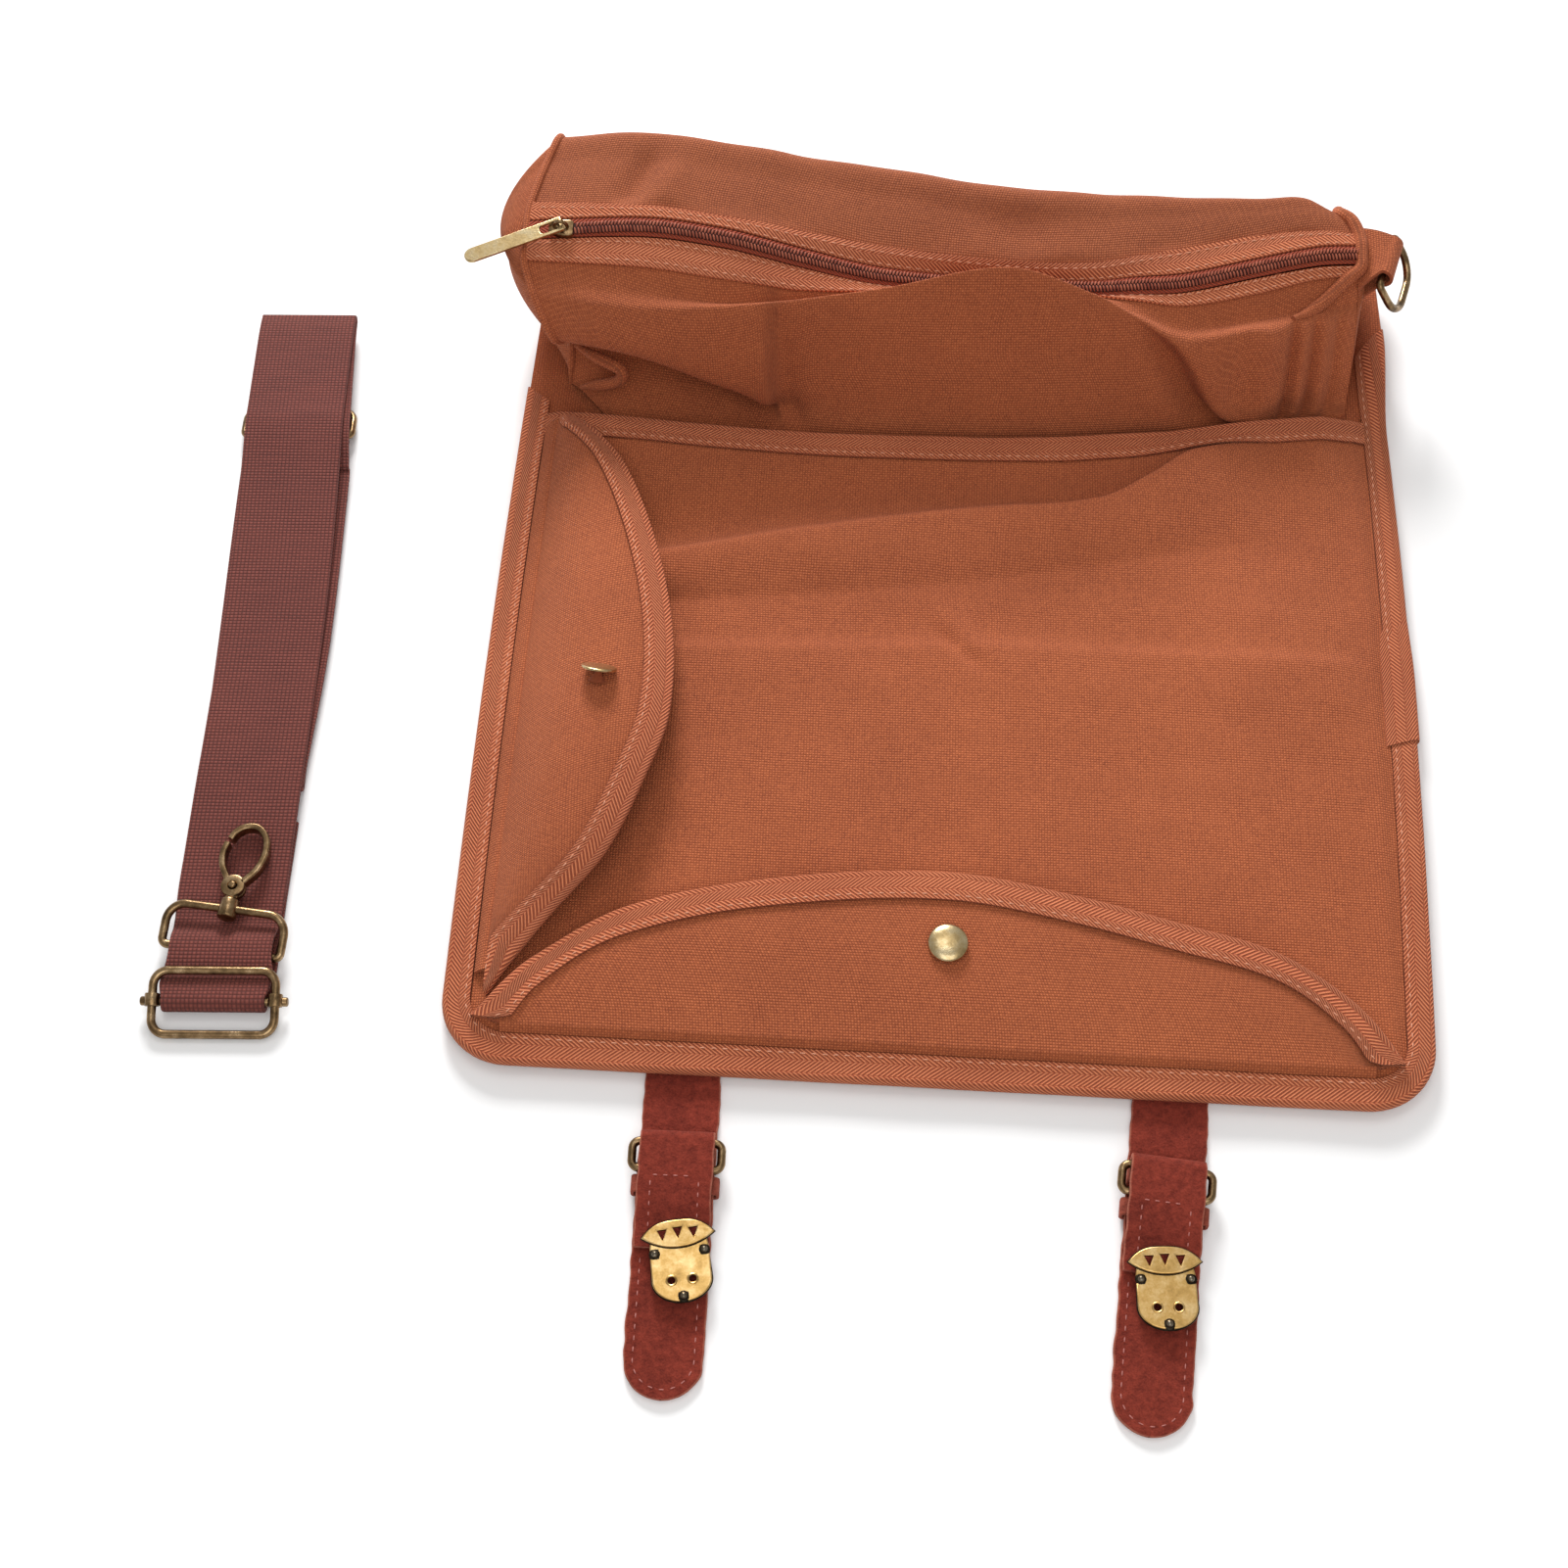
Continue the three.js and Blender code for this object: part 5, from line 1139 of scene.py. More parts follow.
def makeZip():
    x = np.linspace(compartment["leftEnd"], compartment["rightEnd"], 190)
    middle, across, up = sectionAt(x)[2:]
    ribbon = lambda raised, reach, count: (middle + up * raised)[:, None] \
        + across[:, None] * np.linspace(-reach, reach, count)[None, :, None]
    grid = ribbon(zipSizes["raised"], zipSizes["opening"] / 2 - zipSizes["edgeGap"], 9)
    grid[..., 0] += nearLeft(x)[:, None] * leftSeamFront[0][1]  # reaches the drawn-out left seam
    makeCloth("zip_tape", grid, zipSizes["tapeWall"], zipCloth)
    # core ribbon under the teeth, its near-black colour painted shade between them
    core = ribbon(zipSizes["raised"] + zipCore["raised"], zipCore["reach"], 5)
    points, faces = clothBody(core, zipCore["wall"])[:2]
    makePiece("zip_core_shade", points, faces, coreShade, extra=True)


def makeTeeth():
    # each tooth is a short bar that arches from the middle down to the side; the two sides alternate
    start = slider["x"] + slider["length"] / 2 + 0.8
    places = np.arange(start, compartment["rightEnd"] - 0.5, tooth["pitch"] / 2)
    middle, across, up = (v[:, None] for v in sectionAt(places)[2:])
    along = unit(np.cross(across, up))
    sign = np.where(np.arange(len(places)) % 2, 1.0, -1.0)[:, None, None]
    a = np.linspace(-1, 1, 7)
    b = a[None, :, None]
    aside = sign * (tooth["middle"] + tooth["reach"] * b)
    arch = tooth["height"] + zipSizes["raised"] + tooth["arch"] * np.sqrt(1 - (0.475 * (b + 1)) ** 2)
    line = middle + across * aside + up * arch + along * tooth["slant"] * b
    radius = tooth["radius"] * np.sqrt(1.08 - 0.8 * a ** 2)
    makeJoined("zip_chain", [manyBars(line, along, up * sign, radius)], coil)  # sign keeps all faces outwards


def makeSlider():
    middle, across, up = (v[0] for v in sectionAt(np.array([slider["x"]]))[2:])
    basis = np.stack([unit(np.cross(across, up)), across, up])
    length, height = slider["length"], slider["height"]
    # body: a tapering block with round edges and slightly smaller ends, with a bridge over it
    a = np.linspace(-1, 1, 15)
    wide = np.interp(a, [-1, -0.7, 0.2, 0.8, 1], [0.62, 0.74, 1.0, 1.0, 0.9]) * slider["width"]
    cut = np.stack([roundedBar(w, height, slider["corner"], 4) for w in wide])
    cut = cut * (1 - 0.1 * np.abs(a)[:, None, None] ** 6)
    body = sweep(np.stack([a * length / 2, 0 * a, 0 * a + height / 2], -1), cut)
    turn = np.linspace(0, np.pi, 25)
    rise = height - 0.4 + slider["bridgeHeight"] * np.sin(turn)
    arch = np.stack([slider["bridge"] * np.cos(turn), 0 * turn, rise], -1)
    bridge = sweep(arch, roundedBar(1.1, 1.3, 0.35), (0, 1, 0))
    makeJoined("zip_slider", [body, bridge], darkBrass, lambda p: p @ basis + middle + up * zipSizes["gap"])
    # pull: a long tag with a round tip and a window behind its root bar
    side, tip = pull["width"] / 2, pull["length"] - pull["width"] / 2
    turn = np.linspace(-np.pi / 2, np.pi / 2, 25)
    bar = pull["rootBar"] / 2
    roundTip = np.stack([tip + side * np.cos(turn), side * np.sin(turn)], -1)
    outline = np.concatenate([[(-bar, -side)], roundTip, [(-bar, side)]])
    window = roundedBar(pull["windowLength"] - bar, pull["windowWidth"], 1.2, 6)
    window = window + ((pull["windowLength"] + bar) / 2, 0)
    tag = stampedPlate("pull", [outline, window], pull["wall"], pull["bevel"])
    root = middle + up * (zipSizes["gap"] + height + pull["rise"])
    hang = lambda p: turned(turned(p, pull["droop"], "y"), 180 + pull["turn"], "z") + root
    makeJoined("zip_pull", [tag], paleBrass, hang, "zip_pull")


makeZip()
makeTeeth()
makeSlider()
print("zip made")


# wires, rods, plates and bands

wireGap = 0.3  # between a wire and the cloth or sleeve round it


def wireLoop(radius, width, near, far, sides=14):
    # closed wire through a rounded rectangle that leans from its near side to its far side (y, z, corner)
    path = []
    corners = ((far, 1, -1, 0), (far, -1, -1, 90), (near, -1, 1, 180), (near, 1, 1, 270))
    for (end, z, corner), right, inward, start in corners:
        turn = np.radians(np.linspace(start, start + 90, 12))
        x = right * (width / 2 - corner) + corner * np.cos(turn)
        path.append(np.stack([x, end + corner * (inward + np.sin(turn))], -1))
    path = np.concatenate(path)
    z = near[1] + (far[1] - near[1]) * (path[:, 1] - near[0]) / (far[0] - near[0])
    return sweep(np.column_stack([path, z]), circle(radius, sides), loop=True)


def rod(radius, start, end, sides=20, soft=0.4):
    # a round bar with softened ends
    start, end = np.array(start, float), np.array(end, float)
    way = unit(end - start)
    upward = (1, 0, 0) if abs(way[2]) > 0.7 else upright
    ease = np.array([0, 0.3, 1])[:, None] * soft * way
    path = np.concatenate([start + ease, (end - ease)[::-1]])
    sizes = radius - soft * np.array([1, 0.35, 0, 0, 0.35, 1])
    return sweep(path, np.stack([circle(r, sides) for r in sizes]), upward)


def ringPlate(outline, hole, low, high, edge):
    # a flat ring between two outlines of equal count, its edges rounded by short chamfers
    centre = hole.mean(0)
    inset = lambda line, d: line - unit(line - centre) * d
    part = edge * 0.3
    rows = [(inset(outline, edge), high), (inset(outline, part), high - part), (outline, high - edge),
            (outline, low + edge), (inset(outline, part), low + part), (inset(outline, edge), low),
            (inset(hole, -edge), low), (hole, low + edge), (hole, high - edge), (inset(hole, -edge), high)]
    points = np.stack([np.column_stack([line, np.full(len(line), z)]) for line, z in rows], 1)
    n, m = points.shape[:2]
    return points.reshape(-1, 3), gridFaces(n, m, loopRows=True, loopCols=True, flip=True)


def arcRows(y, z, radius, start, end, count=14):
    # (y, z) rows along a part of a circle
    turn = np.radians(np.linspace(start, end, count))
    return np.stack([y + radius * np.cos(turn), z + radius * np.sin(turn)], -1).tolist()


def bandRows(rows, width, shift=lambda y: 0.0):
    # gives each (y, z) row its width, unless the row has its own, and its shift sideways
    return [(r[0], r[1], r[2] if len(r) > 2 else width, float(shift(r[0]))) for r in rows]


def bandBody(rows, wall, corner=0.6, fine=12, spacing=0.9, ragged=0.0):
    # a strip bent in the plane of its length and height: rows give y, z, width and shift sideways
    path = resampled(curveThrough(rows, np.linspace(0, 1, 30 * len(rows))), spacing)
    y, z, width, shift = path.T
    width, shift = width + ragged * ripple(y, z, 41, 9), shift + ragged * 0.5 * ripple(y, z, 42, 6)
    tangent = unit(np.gradient(path[:, :2], axis=0))
    x, high = roundedBar(2, wall, corner, 3, fine).T
    # corner points keep their true size at any width, the others spread evenly between them
    atCorner = np.abs(x) > 1 - corner - 1e-6
    reach = width[:, None] / 2
    across = np.where(atCorner, np.sign(x) * (reach + np.abs(x) - 1), x / (1 - corner) * (reach - corner))
    points = np.stack([across + shift[:, None], y[:, None] - tangent[:, 1:] * high,
                       z[:, None] + tangent[:, :1] * high], -1)
    n, m = points.shape[:2]
    along = np.broadcast_to(lengths(path[:, :2])[:, None], (n, m))
    uv = np.stack([along, across + high * 0.5], -1).reshape(-1, 2)
    wear = np.broadcast_to(np.abs(x) > 1 - corner * 0.55, (n, m)).astype(float).ravel()
    return points.reshape(-1, 3), tubeFaces(n, m), uv, wear


# suede tabs with buckle, keeper, lock strap and lock plate

tab = dict(width=25.4, wall=2.0, root=10, bendEnd=-56, flatStart=-60, ragged=0.35)
tabPlaces = [  # turned about their roots at the panel's front edge
    dict(side="left", x=-83.3, turn=0.8, reach=109, lockShift=2.2, lockTurn=9),
    dict(side="right", x=78.7, turn=-4.7, reach=112, lockShift=0.8, lockTurn=8)]
tabRise = [(-56, 1), (-46, 2.7), (-35, 2.7), (-24, 1), (10, 1)]  # y, z
buckle = dict(y=-26, z=6.4, wire=1.4, width=29.2, depth=9, slope=0.9, corner=2.5)
keeper = dict(y=-40, low=0.75, high=4.9, width=6, wall=1.2, reach=1.1, corner=1.0, worn=0.4)
lockStrap = dict(narrower=1, endY=-31, endZ=4.4)
# y, z along the lock strap from its fold, and under its stitches
lockStrapTop = [(-36, 8.6), (-46, 6.8), (-54, 4.1), (-61, 3.6)]
seamStrap = [(-62, 3.6), (-54, 4.1), (-46, 6.8), (-36, 8.6), (-26, 9.1)]
tabSeam = dict(inset=3.0, start=-62, pitch=3.6, length=2.0, thick=0.2, lift=0.02)
lockSeam = dict(start=-38.5, end=-57, aside=7.8, across=8, pitch=3.3, length=1.9, thick=0.2)
lock = dict(y=-57.5, z=5.1, wall=1.2, bevel=0.4, shadeWall=0.7, tilt=0.06)
# lower and upper: share of the depth and power of the curve; cuts: x, y of three pointed holes
crown = dict(width=23.4, depth=9.4, rise=0.9, cut=1.45, lower=(0.42, 2.2), upper=(0.52, 3))
crownCuts = [(-5, 1.9), (0, 2.4), (5, 2)]
shield = dict(width=19, length=21.6, notch=2.6, notchTop=-4.2, eyeX=3.4, eyeY=7, eye=1.2, round=0.75)
lockBall = dict(aside=1.6, y=-5.5, footY=1.7, radius=1.15, flatten=0.8, paintedShade=1.95, paintedShadeFlat=0.12)


def makeTabStrap(place, move):
    # flat from its root, over the hump, flat again and round at its tip, where the width follows a cosine
    width, wall = tab["width"], tab["wall"]
    tip = -place["reach"] + width / 2
    y = np.linspace(tab["root"], tab["bendEnd"], 40)
    hump = np.column_stack([y, readTable(tabRise, y)]).tolist()
    flat = [(v, wall / 2) for v in np.linspace(tab["flatStart"], tip + 1, 12)]
    turn = np.radians(np.linspace(0, 88, 24))
    tongue = [(tip - width / 2 * math.sin(a), wall / 2, width * math.cos(a)) for a in turn]
    points, faces, uv, wear = bandBody(bandRows(hump + flat + tongue, width), wall, ragged=tab["ragged"])
    makePiece("tab_strap_" + place["side"], move(points), faces, suede, uv=uv, flags=wear)


def makeLockStrap(place, move):
    # buckle wire, and the strap that is folded round it
    y, z, wall = buckle["y"], buckle["z"], tab["wall"]
    near, far = (y - buckle["depth"], z - buckle["slope"], buckle["corner"]), (y, z, buckle["corner"])
    wire = wireLoop(buckle["wire"], buckle["width"], near, far)
    makeJoined("tab_buckle_" + place["side"], [wire], darkBrass, move)
    fold = arcRows(y, z, buckle["wire"] + wireGap + wall / 2, -90, 90)
    start = (lockStrap["endY"], lockStrap["endZ"])
    rows = bandRows([start] + fold + lockStrapTop, tab["width"] - lockStrap["narrower"])
    points, faces, uv, wear = bandBody(rows, wall, spacing=0.8, ragged=tab["ragged"])
    makePiece("lock_strap_" + place["side"], move(points), faces, suede, uv=uv, flags=wear)


def makeKeeper(place, move):
    # a flat loop of suede round the strap
    loop = roundedBar(tab["width"] + 2 * keeper["reach"], keeper["high"] - keeper["low"], keeper["corner"], 5)
    middle = (keeper["low"] + keeper["high"]) / 2
    path = np.column_stack([loop[:, 0], np.full(len(loop), keeper["y"]), loop[:, 1] + middle])
    points, faces = sweep(path, roundedBar(keeper["wall"], keeper["width"], 0.4), (0, 1, 0), loop=True)
    worn = np.full(len(points), keeper["worn"])
    makePiece("tab_keeper_" + place["side"], move(points), faces, suede, flags=worn)


def makeTabStitches(place, move):
    # along the tongue inside its edge, across the lock strap and down its sides to the plate
    width, wall = tab["width"], tab["wall"]
    inset, tip = width / 2 - tabSeam["inset"], -place["reach"] + width / 2
    a = np.radians(np.linspace(0, 180, 40))[1:-1]
    run = np.linspace(tabSeam["start"], tip, 20)
    x = np.concatenate([0 * run - inset, -inset * np.cos(a), 0 * run + inset])
    y = np.concatenate([run, tip - inset * np.sin(a), run[::-1]])
    line = np.column_stack([x, y, np.full(len(x), wall + tabSeam["lift"])])
    stitch = (tabSeam["pitch"], tabSeam["length"], tabSeam["thick"])
    rows = [stitchRow(line, np.tile(upright, (len(x), 1)), *stitch)]
    y = np.linspace(lockSeam["start"], lockSeam["end"], 30)
    z = readTable(seamStrap, y)[:, 0] + wall / 2 + tabSeam["lift"]
    slope = unit(np.column_stack([0 * y, -np.gradient(z, y), np.ones_like(y)]))
    stitch = (lockSeam["pitch"], lockSeam["length"], lockSeam["thick"])
    for aside in (-lockSeam["aside"], lockSeam["aside"]):
        rows.append(stitchRow(np.column_stack([0 * y + aside, y, z]), slope, *stitch))
    x = np.linspace(-lockSeam["across"], lockSeam["across"], 10)
    across = np.column_stack([x, 0 * x + y[0], 0 * x + z[0]])
    rows.append(stitchRow(across, np.tile(slope[0], (len(x), 1)), *stitch, start=0))
    makeJoined("tab_stitches_" + place["side"], rows, pinkThread, move, extra=True)


def lockCrown():
    # a lens of two power curves with three pointed holes, tilted a little; and a slightly wider dark plate
    # under it, painted shade round its edge
    k = np.linspace(-1, 1, 25)[:-1]
    curves = []
    for way, (depth, power) in ((1, crown["lower"]), (-1, crown["upper"])):
        y = -way * depth * crown["depth"] * (1 - np.abs(k) ** power)
        curves.append(np.stack([way * k * crown["width"] / 2, y], -1))
    outline, cut = np.concatenate(curves), crown["cut"]
    holes = [[(x - cut, y), (x + cut, y + 0.1), (x, y - 2.4 * cut)] for x, y in crownCuts]
    plate = stampedPlate("lock_crown", [outline] + holes, lock["wall"], lock["bevel"])
    shadePlate = stampedPlate("crown_shade", [widened(outline, 0.4)] + holes, lock["shadeWall"], 0.1)
    for points, height in ((plate[0], lock["wall"] / 2), (shadePlate[0], 0.3)):
        points[:, 2] += crown["rise"] + height + lock["tilt"] * (points[:, 1] + 3)
    return plate, shadePlate


def lockShield():
    # straight sides with a notch in each, a round foot with a notch, two eyes with rims; and a slightly wider
    # dark plate under it, painted shade round its edge
    w, length, notch, top = shield["width"] / 2, shield["length"], shield["notch"], shield["notchTop"]
    turn = np.radians(np.linspace(180, 360, 41))
    bottom = np.stack([w * np.cos(turn), -length + w * shield["round"] * (1 + np.sin(turn))], -1)
    bottom = bottom[np.abs(bottom[:, 0]) > notch / 2]
    left, right = bottom[bottom[:, 0] < 0], bottom[bottom[:, 0] > 0]
    inner, deep = w - notch, notch - length
    side = np.array([(w, top - notch), (inner, top - notch), (inner, top), (w, top)])
    footNotch = [(-notch / 2, -length), (-notch / 2, deep), (notch / 2, deep), (notch / 2, -length)]
    start, end = [(-w + 0.5, -1)], [(w - 0.5, -1)]
    outline = np.concatenate([start, (side * (-1, 1))[::-1], left, footNotch, right, side, end])
    centres = [(x, shield["eyeY"] - length) for x in (-shield["eyeX"], shield["eyeX"])]
    eyes = [circle(shield["eye"], 20) + centre for centre in centres]
    plate = stampedPlate("lock_shield", [outline] + eyes, lock["wall"], lock["bevel"])
    whole = np.concatenate([start, bottom, end])
    shadePlate = stampedPlate("lock_shade", [widened(whole, 0.45)] + eyes, lock["shadeWall"], 0.2)
    plate[0][:, 2] += lock["wall"] / 2
    shadePlate[0][:, 2] += lock["shadeWall"] / 2
    rims = []
    for centre in centres:
        ring = np.column_stack([circle(shield["eye"] + 0.35, 24) + centre, np.full(24, lock["wall"])])
        rims.append(sweep(ring, circle(0.34, 8), loop=True))
    return [plate] + rims, shadePlate


def widened(outline, distance):
    # moved away from its middle
    return outline + unit(outline - outline.mean(0)) * distance


def balls(places, z, radius, flatten):
    # flattened balls of one size
    turn = np.linspace(-np.pi / 2, np.pi / 2, 9)
    points, faces = lathe(np.stack([radius * np.cos(turn), radius * flatten * np.sin(turn)], -1), 16)
    return [(points + (x, y, z), faces) for x, y in places]


def makeLockPlate(place, move):
    # crown over shield, with a metal ball in each of three round hollows; dark discs under the balls are
    # painted shade in the hollows
    seat = lambda p: move(turned(p, place["lockTurn"], "z") + (place["lockShift"], lock["y"], lock["z"]))
    head, headShade = lockCrown()
    body, bodyShade = lockShield()
    makeJoined("lock_plate_" + place["side"], [head] + body, plateBrass, seat)
    aside = shield["width"] / 2 - lockBall["aside"]
    spots = ((-aside, lockBall["y"]), (aside, lockBall["y"]), (0, lockBall["footY"] - shield["length"]))
    ball = balls(spots, lock["wall"] + 0.3, lockBall["radius"], lockBall["flatten"])
    makeJoined("lock_balls_" + place["side"], ball, blackMetal, seat, extra=True)
    # dark plates under shield and crown, and dark discs under the balls: painted shade
    hollow = balls(spots, lock["wall"] - 0.1, lockBall["paintedShade"], lockBall["paintedShadeFlat"])
    makeJoined("lock_painted_shade_" + place["side"], [bodyShade, headShade] + hollow, paintedShade, seat, extra=True)


for place in tabPlaces:
    move = lambda p: turned(p, place["turn"], "z") + (place["x"], frontEdge, 0)
    for make in (makeTabStrap, makeLockStrap, makeKeeper, makeTabStitches, makeLockPlate):
        make(place, move)
print("tabs made")


# ring on its cloth tab

ringTab = dict(width=19, wall=1.3, place=(163.2, 150, 46.5), turn=-106, tilt=48, drop=6, puff=0.8,
               along=(-0.2756, -0.9613, 0), away=(0.9613, -0.2756, 0))  # along the ring's bar and across it
ringRoot = dict(middle=(152, 149, 47.5), half=(0.4, -12.5, -3.5))
ringSize = dict(width=27, depth=18, nearCorner=2.2, farCorner=9.5, lean=8, wire=1.5)


def makeRing():
    # tab: from the end seam over the ring's bar, half a turn round it and back below
    v = np.linspace(-1, 1, 21)[:, None]
    root = np.array(ringRoot["middle"]) + v * np.array(ringRoot["half"])
    bar = np.array(ringTab["place"]) + v * ringTab["width"] / 2 * np.array(ringTab["along"])
    turn = np.radians(np.linspace(100, -95, 22))[None, :, None]
    reach = ringSize["wire"] + wireGap + ringTab["wall"]
    bend = bar[:, None] + reach * (np.cos(turn) * np.array(ringTab["away"]) + np.sin(turn) * upright)
    share = np.linspace(0, 1, 9)[None, :-1, None]
    puff = np.sin(np.pi * share) * upright * ringTab["puff"]
    over = root[:, None] * (1 - share) + bend[:, :1] * share + puff
    below = (root - (0, 0, ringTab["drop"]))[:, None]
    under = bend[:, -1:] * share[:, ::-1] + below * (1 - share[:, ::-1])
    makeCloth("ring_tab", np.concatenate([over, bend, under], axis=1)[::-1], ringTab["wall"], canvas)
    near, far = (0, 0, ringSize["nearCorner"]), (ringSize["depth"], 0, ringSize["farCorner"])
    leaning = -ringSize["lean"] - ringTab["tilt"]
    hang = lambda p: turned(turned(p, leaning, "x"), ringTab["turn"], "z") + ringTab["place"]
    wire = wireLoop(ringSize["wire"], ringSize["width"], near, far)
    makeJoined("d_ring", [wire], darkBrass, hang, "d_ring")


makeRing()
print("ring made")


# shoulder strap beside the bag

strap = dict(x=-243.3, y=-170, turn=2.8, length=304, width=37.6, wall=1.8, bow=2.4, narrow=35, corner=0.55)
sliderFrame = dict(width=41.6, wire=1.5, near=(-8, 1.7, 5), far=(12.5, 8.6, 5))
sliderBar = dict(y=3, z=4.4, radius=1.6, knob=4.2, sleeve=2.2, sleeveWall=0.75)
hiddenBar = dict(y=245, z=3.8, corner=2, depth=13, drop=1.2, farCorner=5)
fan = dict(start=88, length=215, middle=3, lower=-2.5)
webTurns = dict(far=(300.5, 6.95, 1.35), near=(88.5, 2.2, 1.2))  # y, z, radius
firstLayer = [(74, 1), (40, 1), (12, 1)]  # y, z and, where it is pressed, width
topLayer = [(8, 6.6), (12.5, 5.1), (18.5, 6.5, 35.4), (25.5, 6.5, 35.4), (32.5, 3.5, 36), (46, 3.2),
            (60, 3.8), (74, 4.6), (88, 5.4), (110, 5.7), (150, 5.8), (180, 6.6), (205, 7.9), (225, 9.4),
            (245, 11.4), (258, 10.8), (290, 9.5)]
middleLayer = [(290, 7.2), (258, 8.6), (245, 9.2), (238, 8.2), (229, 5.2), (220, 3.4), (150, 3.4), (95, 3.4)]
lowerLayer = [(95, 1), (150, 1), (236, 1)]
lastEnd = [(240, 5.4), (232, 3.2)]
hook = dict(y=36, z=8.2, turn=-8, shift=1, barrel=3.6, barrelRadius=3.3, stem=2.2, depth=4.4, strip=2.2)
hookLoop = dict(width=41.6, wire=1.5, depth=14, z=3.75, nearCorner=2, farCorner=6.5)
pivot = dict(x=-0.4, y=8.3, eye=4.1, pin=1.2, rivet=0.9, half=0.15)
# x, y of the hook's arm and of its gate
hookArm = [(2.4, 6.6), (6, 12), (7.4, 18.4), (6.3, 24.4), (2.6, 28.2), (-1.8, 28), (-4.7, 25.6), (-6, 22.6)]
hookGate = [(-3.2, 7.4), (-6, 12), (-7.1, 17), (-6.6, 21)]
hiddenEye = dict(y=27, length=14.5, width=7.5, rim=3, z=0.6, height=4)


def bowed(y):
    # sideways bow of the strap, a squared half sine of its length
    return strap["bow"] * np.sin(np.pi * np.clip(y, 0, strap["length"]) / strap["length"]) ** 2


def strapMove(p):
    # from the strap's own frame to the bag's
    return turned(p, strap["turn"], "z") + (strap["x"], strap["y"], 0)


def bowedMove(y):
    # moves a piece that sits on the strap at y
    return lambda p: strapMove(p + np.array([float(bowed(y)), 0, 0]))


def makeWebbing():
    def layer(rows, spread=0, width=strap["width"]):
        # each layer bows with the strap and fans out sideways by a half sine
        fanned = lambda y: spread * math.sin(math.pi * min(max((y - fan["start"]) / fan["length"], 0), 1))
        return bandRows(rows, width, lambda y: bowed(y) + fanned(y))
    wall, narrow = strap["wall"], strap["narrow"]
    overBar = arcRows(sliderBar["y"], sliderBar["z"], sliderBar["radius"] + wireGap + wall / 2, -90, -270)
    farTurn, nearTurn = arcRows(*webTurns["far"], 90, -90, 9), arcRows(*webTurns["near"], 90, 270, 9)
    overHidden = arcRows(hiddenBar["y"], hiddenBar["z"], hookLoop["wire"] + wireGap + wall / 2, -90, 90)
    rows = layer(firstLayer) + layer(overBar, 0, narrow) + layer(topLayer + farTurn)
    rows += layer(middleLayer + nearTurn, fan["middle"]) + layer(lowerLayer, fan["lower"])
    rows += layer(overHidden + lastEnd, 0, narrow)
    points, faces, uv = bandBody(rows, wall, strap["corner"], 16, 1.0)[:3]
    piece = makePiece("shoulder_webbing", strapMove(points), faces, webbingCloth, uv=uv)


def sleeveRing(centre, slope):
    # a short pipe along the frame's slope
    inner = sliderFrame["wire"] + wireGap
    outer = inner + sliderBar["sleeveWall"]
    profile = ((inner, -1), (outer - 0.2, -1), (outer, -0.85), (outer, 0.85), (outer - 0.2, 1), (inner, 1))
    across = np.array([[1.0, 0, 0], np.cross(slope, (1.0, 0, 0))])
    rings = [centre + slope * place * sliderBar["sleeve"] + circle(radius, 20) @ across
             for radius, place in profile]
    return np.concatenate(rings), gridFaces(len(profile), 20, loopRows=True, loopCols=True, flip=True)


def makeStrapSlider():
    near, far, y, z = sliderFrame["near"], sliderFrame["far"], sliderBar["y"], sliderBar["z"]
    move = bowedMove(y)
    wire = wireLoop(sliderFrame["wire"], sliderFrame["width"], near, far)
    makeJoined("slider_frame", [wire], darkBrass, move)
    slope = unit(np.array([0, far[0] - near[0], far[1] - near[1]]))
    side = sliderFrame["width"] / 2
    sleeveZ = near[1] + (far[1] - near[1]) * (y - near[0]) / (far[0] - near[0])
    end = side + sliderBar["knob"]
    bar = rod(sliderBar["radius"], (-end, y, z), (end, y, z), soft=0.5)
    sleeves = [sleeveRing(np.array([x, y, sleeveZ]), slope) for x in (-side, side)]
    makeJoined("slider_bar", [bar] + sleeves, darkBrass, move)


def bentStrip(rows):
    # a flat strip on edge along a smooth line in the hook's plane
    line = curveThrough([(x, y + hook["barrel"], 0) for x, y in rows], np.linspace(0, 1, 60))
    return sweep(line, roundedBar(hook["strip"], hook["depth"], 0.6, 4))


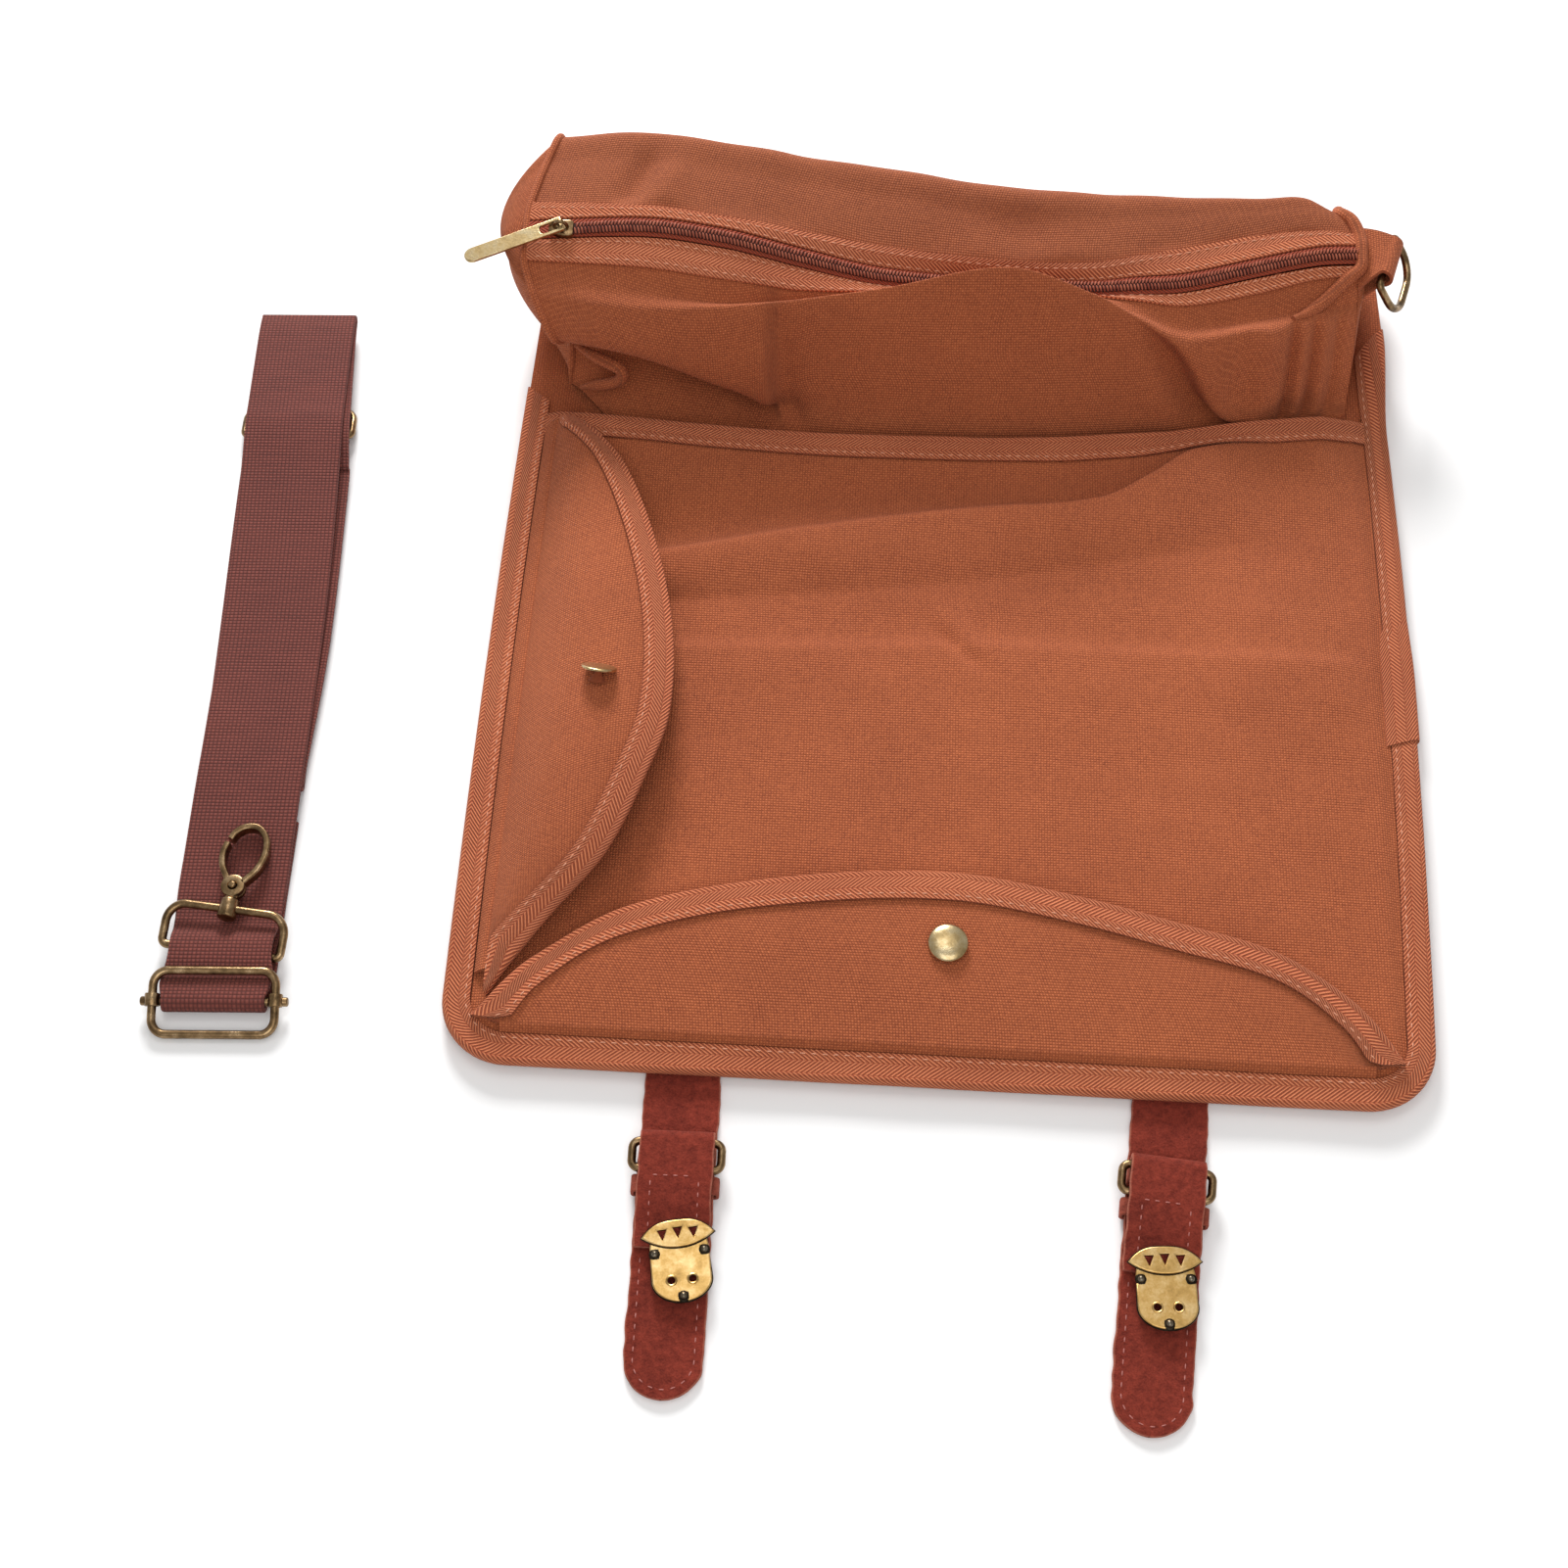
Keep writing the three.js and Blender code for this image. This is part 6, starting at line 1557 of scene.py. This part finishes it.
def disc(radius, low, high):
    # a round plate at the pivot with softened edges
    return rod(radius, (pivot["x"], pivot["y"], low), (pivot["x"], pivot["y"], high), 36, 0.35)


def makeHook():
    shift = np.array([float(bowed(hook["y"])) + hook["shift"], hook["y"], hook["z"]])
    move = lambda p: strapMove(turned(p, hook["turn"], "z") + shift)
    barrel, depth = hook["barrel"], hook["depth"]
    near = (-hookLoop["depth"], hookLoop["z"] - hook["z"], hookLoop["nearCorner"])
    far = (0, 0, hookLoop["farCorner"])
    loop = wireLoop(hookLoop["wire"], hookLoop["width"], near, far)
    swivel = rod(hook["barrelRadius"], (0, -barrel, 0), (0, barrel, 0), 24, 0.7)
    makeJoined("hook_loop", [loop, swivel], darkBrass, move)
    stem = rod(hook["stem"], (0, barrel + 0.3, 0), (0, barrel + 3, 0))
    lowerEye = disc(pivot["eye"], -depth / 2, -pivot["half"])
    rivet = disc(pivot["pin"], -1, depth / 2 + pivot["rivet"])
    makeJoined("hook_body", [stem, bentStrip(hookArm), lowerEye, rivet], darkBrass, move)
    sizes = (pivot["eye"], pivot["pin"] + wireGap)
    eye, bore = (circle(radius, 36) + (pivot["x"], pivot["y"]) for radius in sizes)
    upperEye = ringPlate(eye, bore, pivot["half"], depth / 2, 0.3)
    makeJoined("hook_gate", [bentStrip(hookGate), upperEye], darkBrass, move, "hook_gate")


def makeHiddenHook():
    y, z = hiddenBar["y"], hiddenBar["z"]
    near = (y, z, hiddenBar["corner"])
    far = (y + hiddenBar["depth"], z - hiddenBar["drop"], hiddenBar["farCorner"])
    loop = wireLoop(hookLoop["wire"], hookLoop["width"], near, far)
    size = lambda inset: (hiddenEye["width"] - inset, hiddenEye["length"] - inset)
    outline, hole = (circle(1, 48) * size(inset) + (0, y + hiddenEye["y"]) for inset in (0, hiddenEye["rim"]))
    eye = ringPlate(outline, hole, hiddenEye["z"], hiddenEye["z"] + hiddenEye["height"], 0.5)
    makeJoined("hook_hidden", [loop, eye], darkBrass, bowedMove(y))


makeWebbing()
makeStrapSlider()
makeHook()
makeHiddenHook()
print("shoulder strap made")
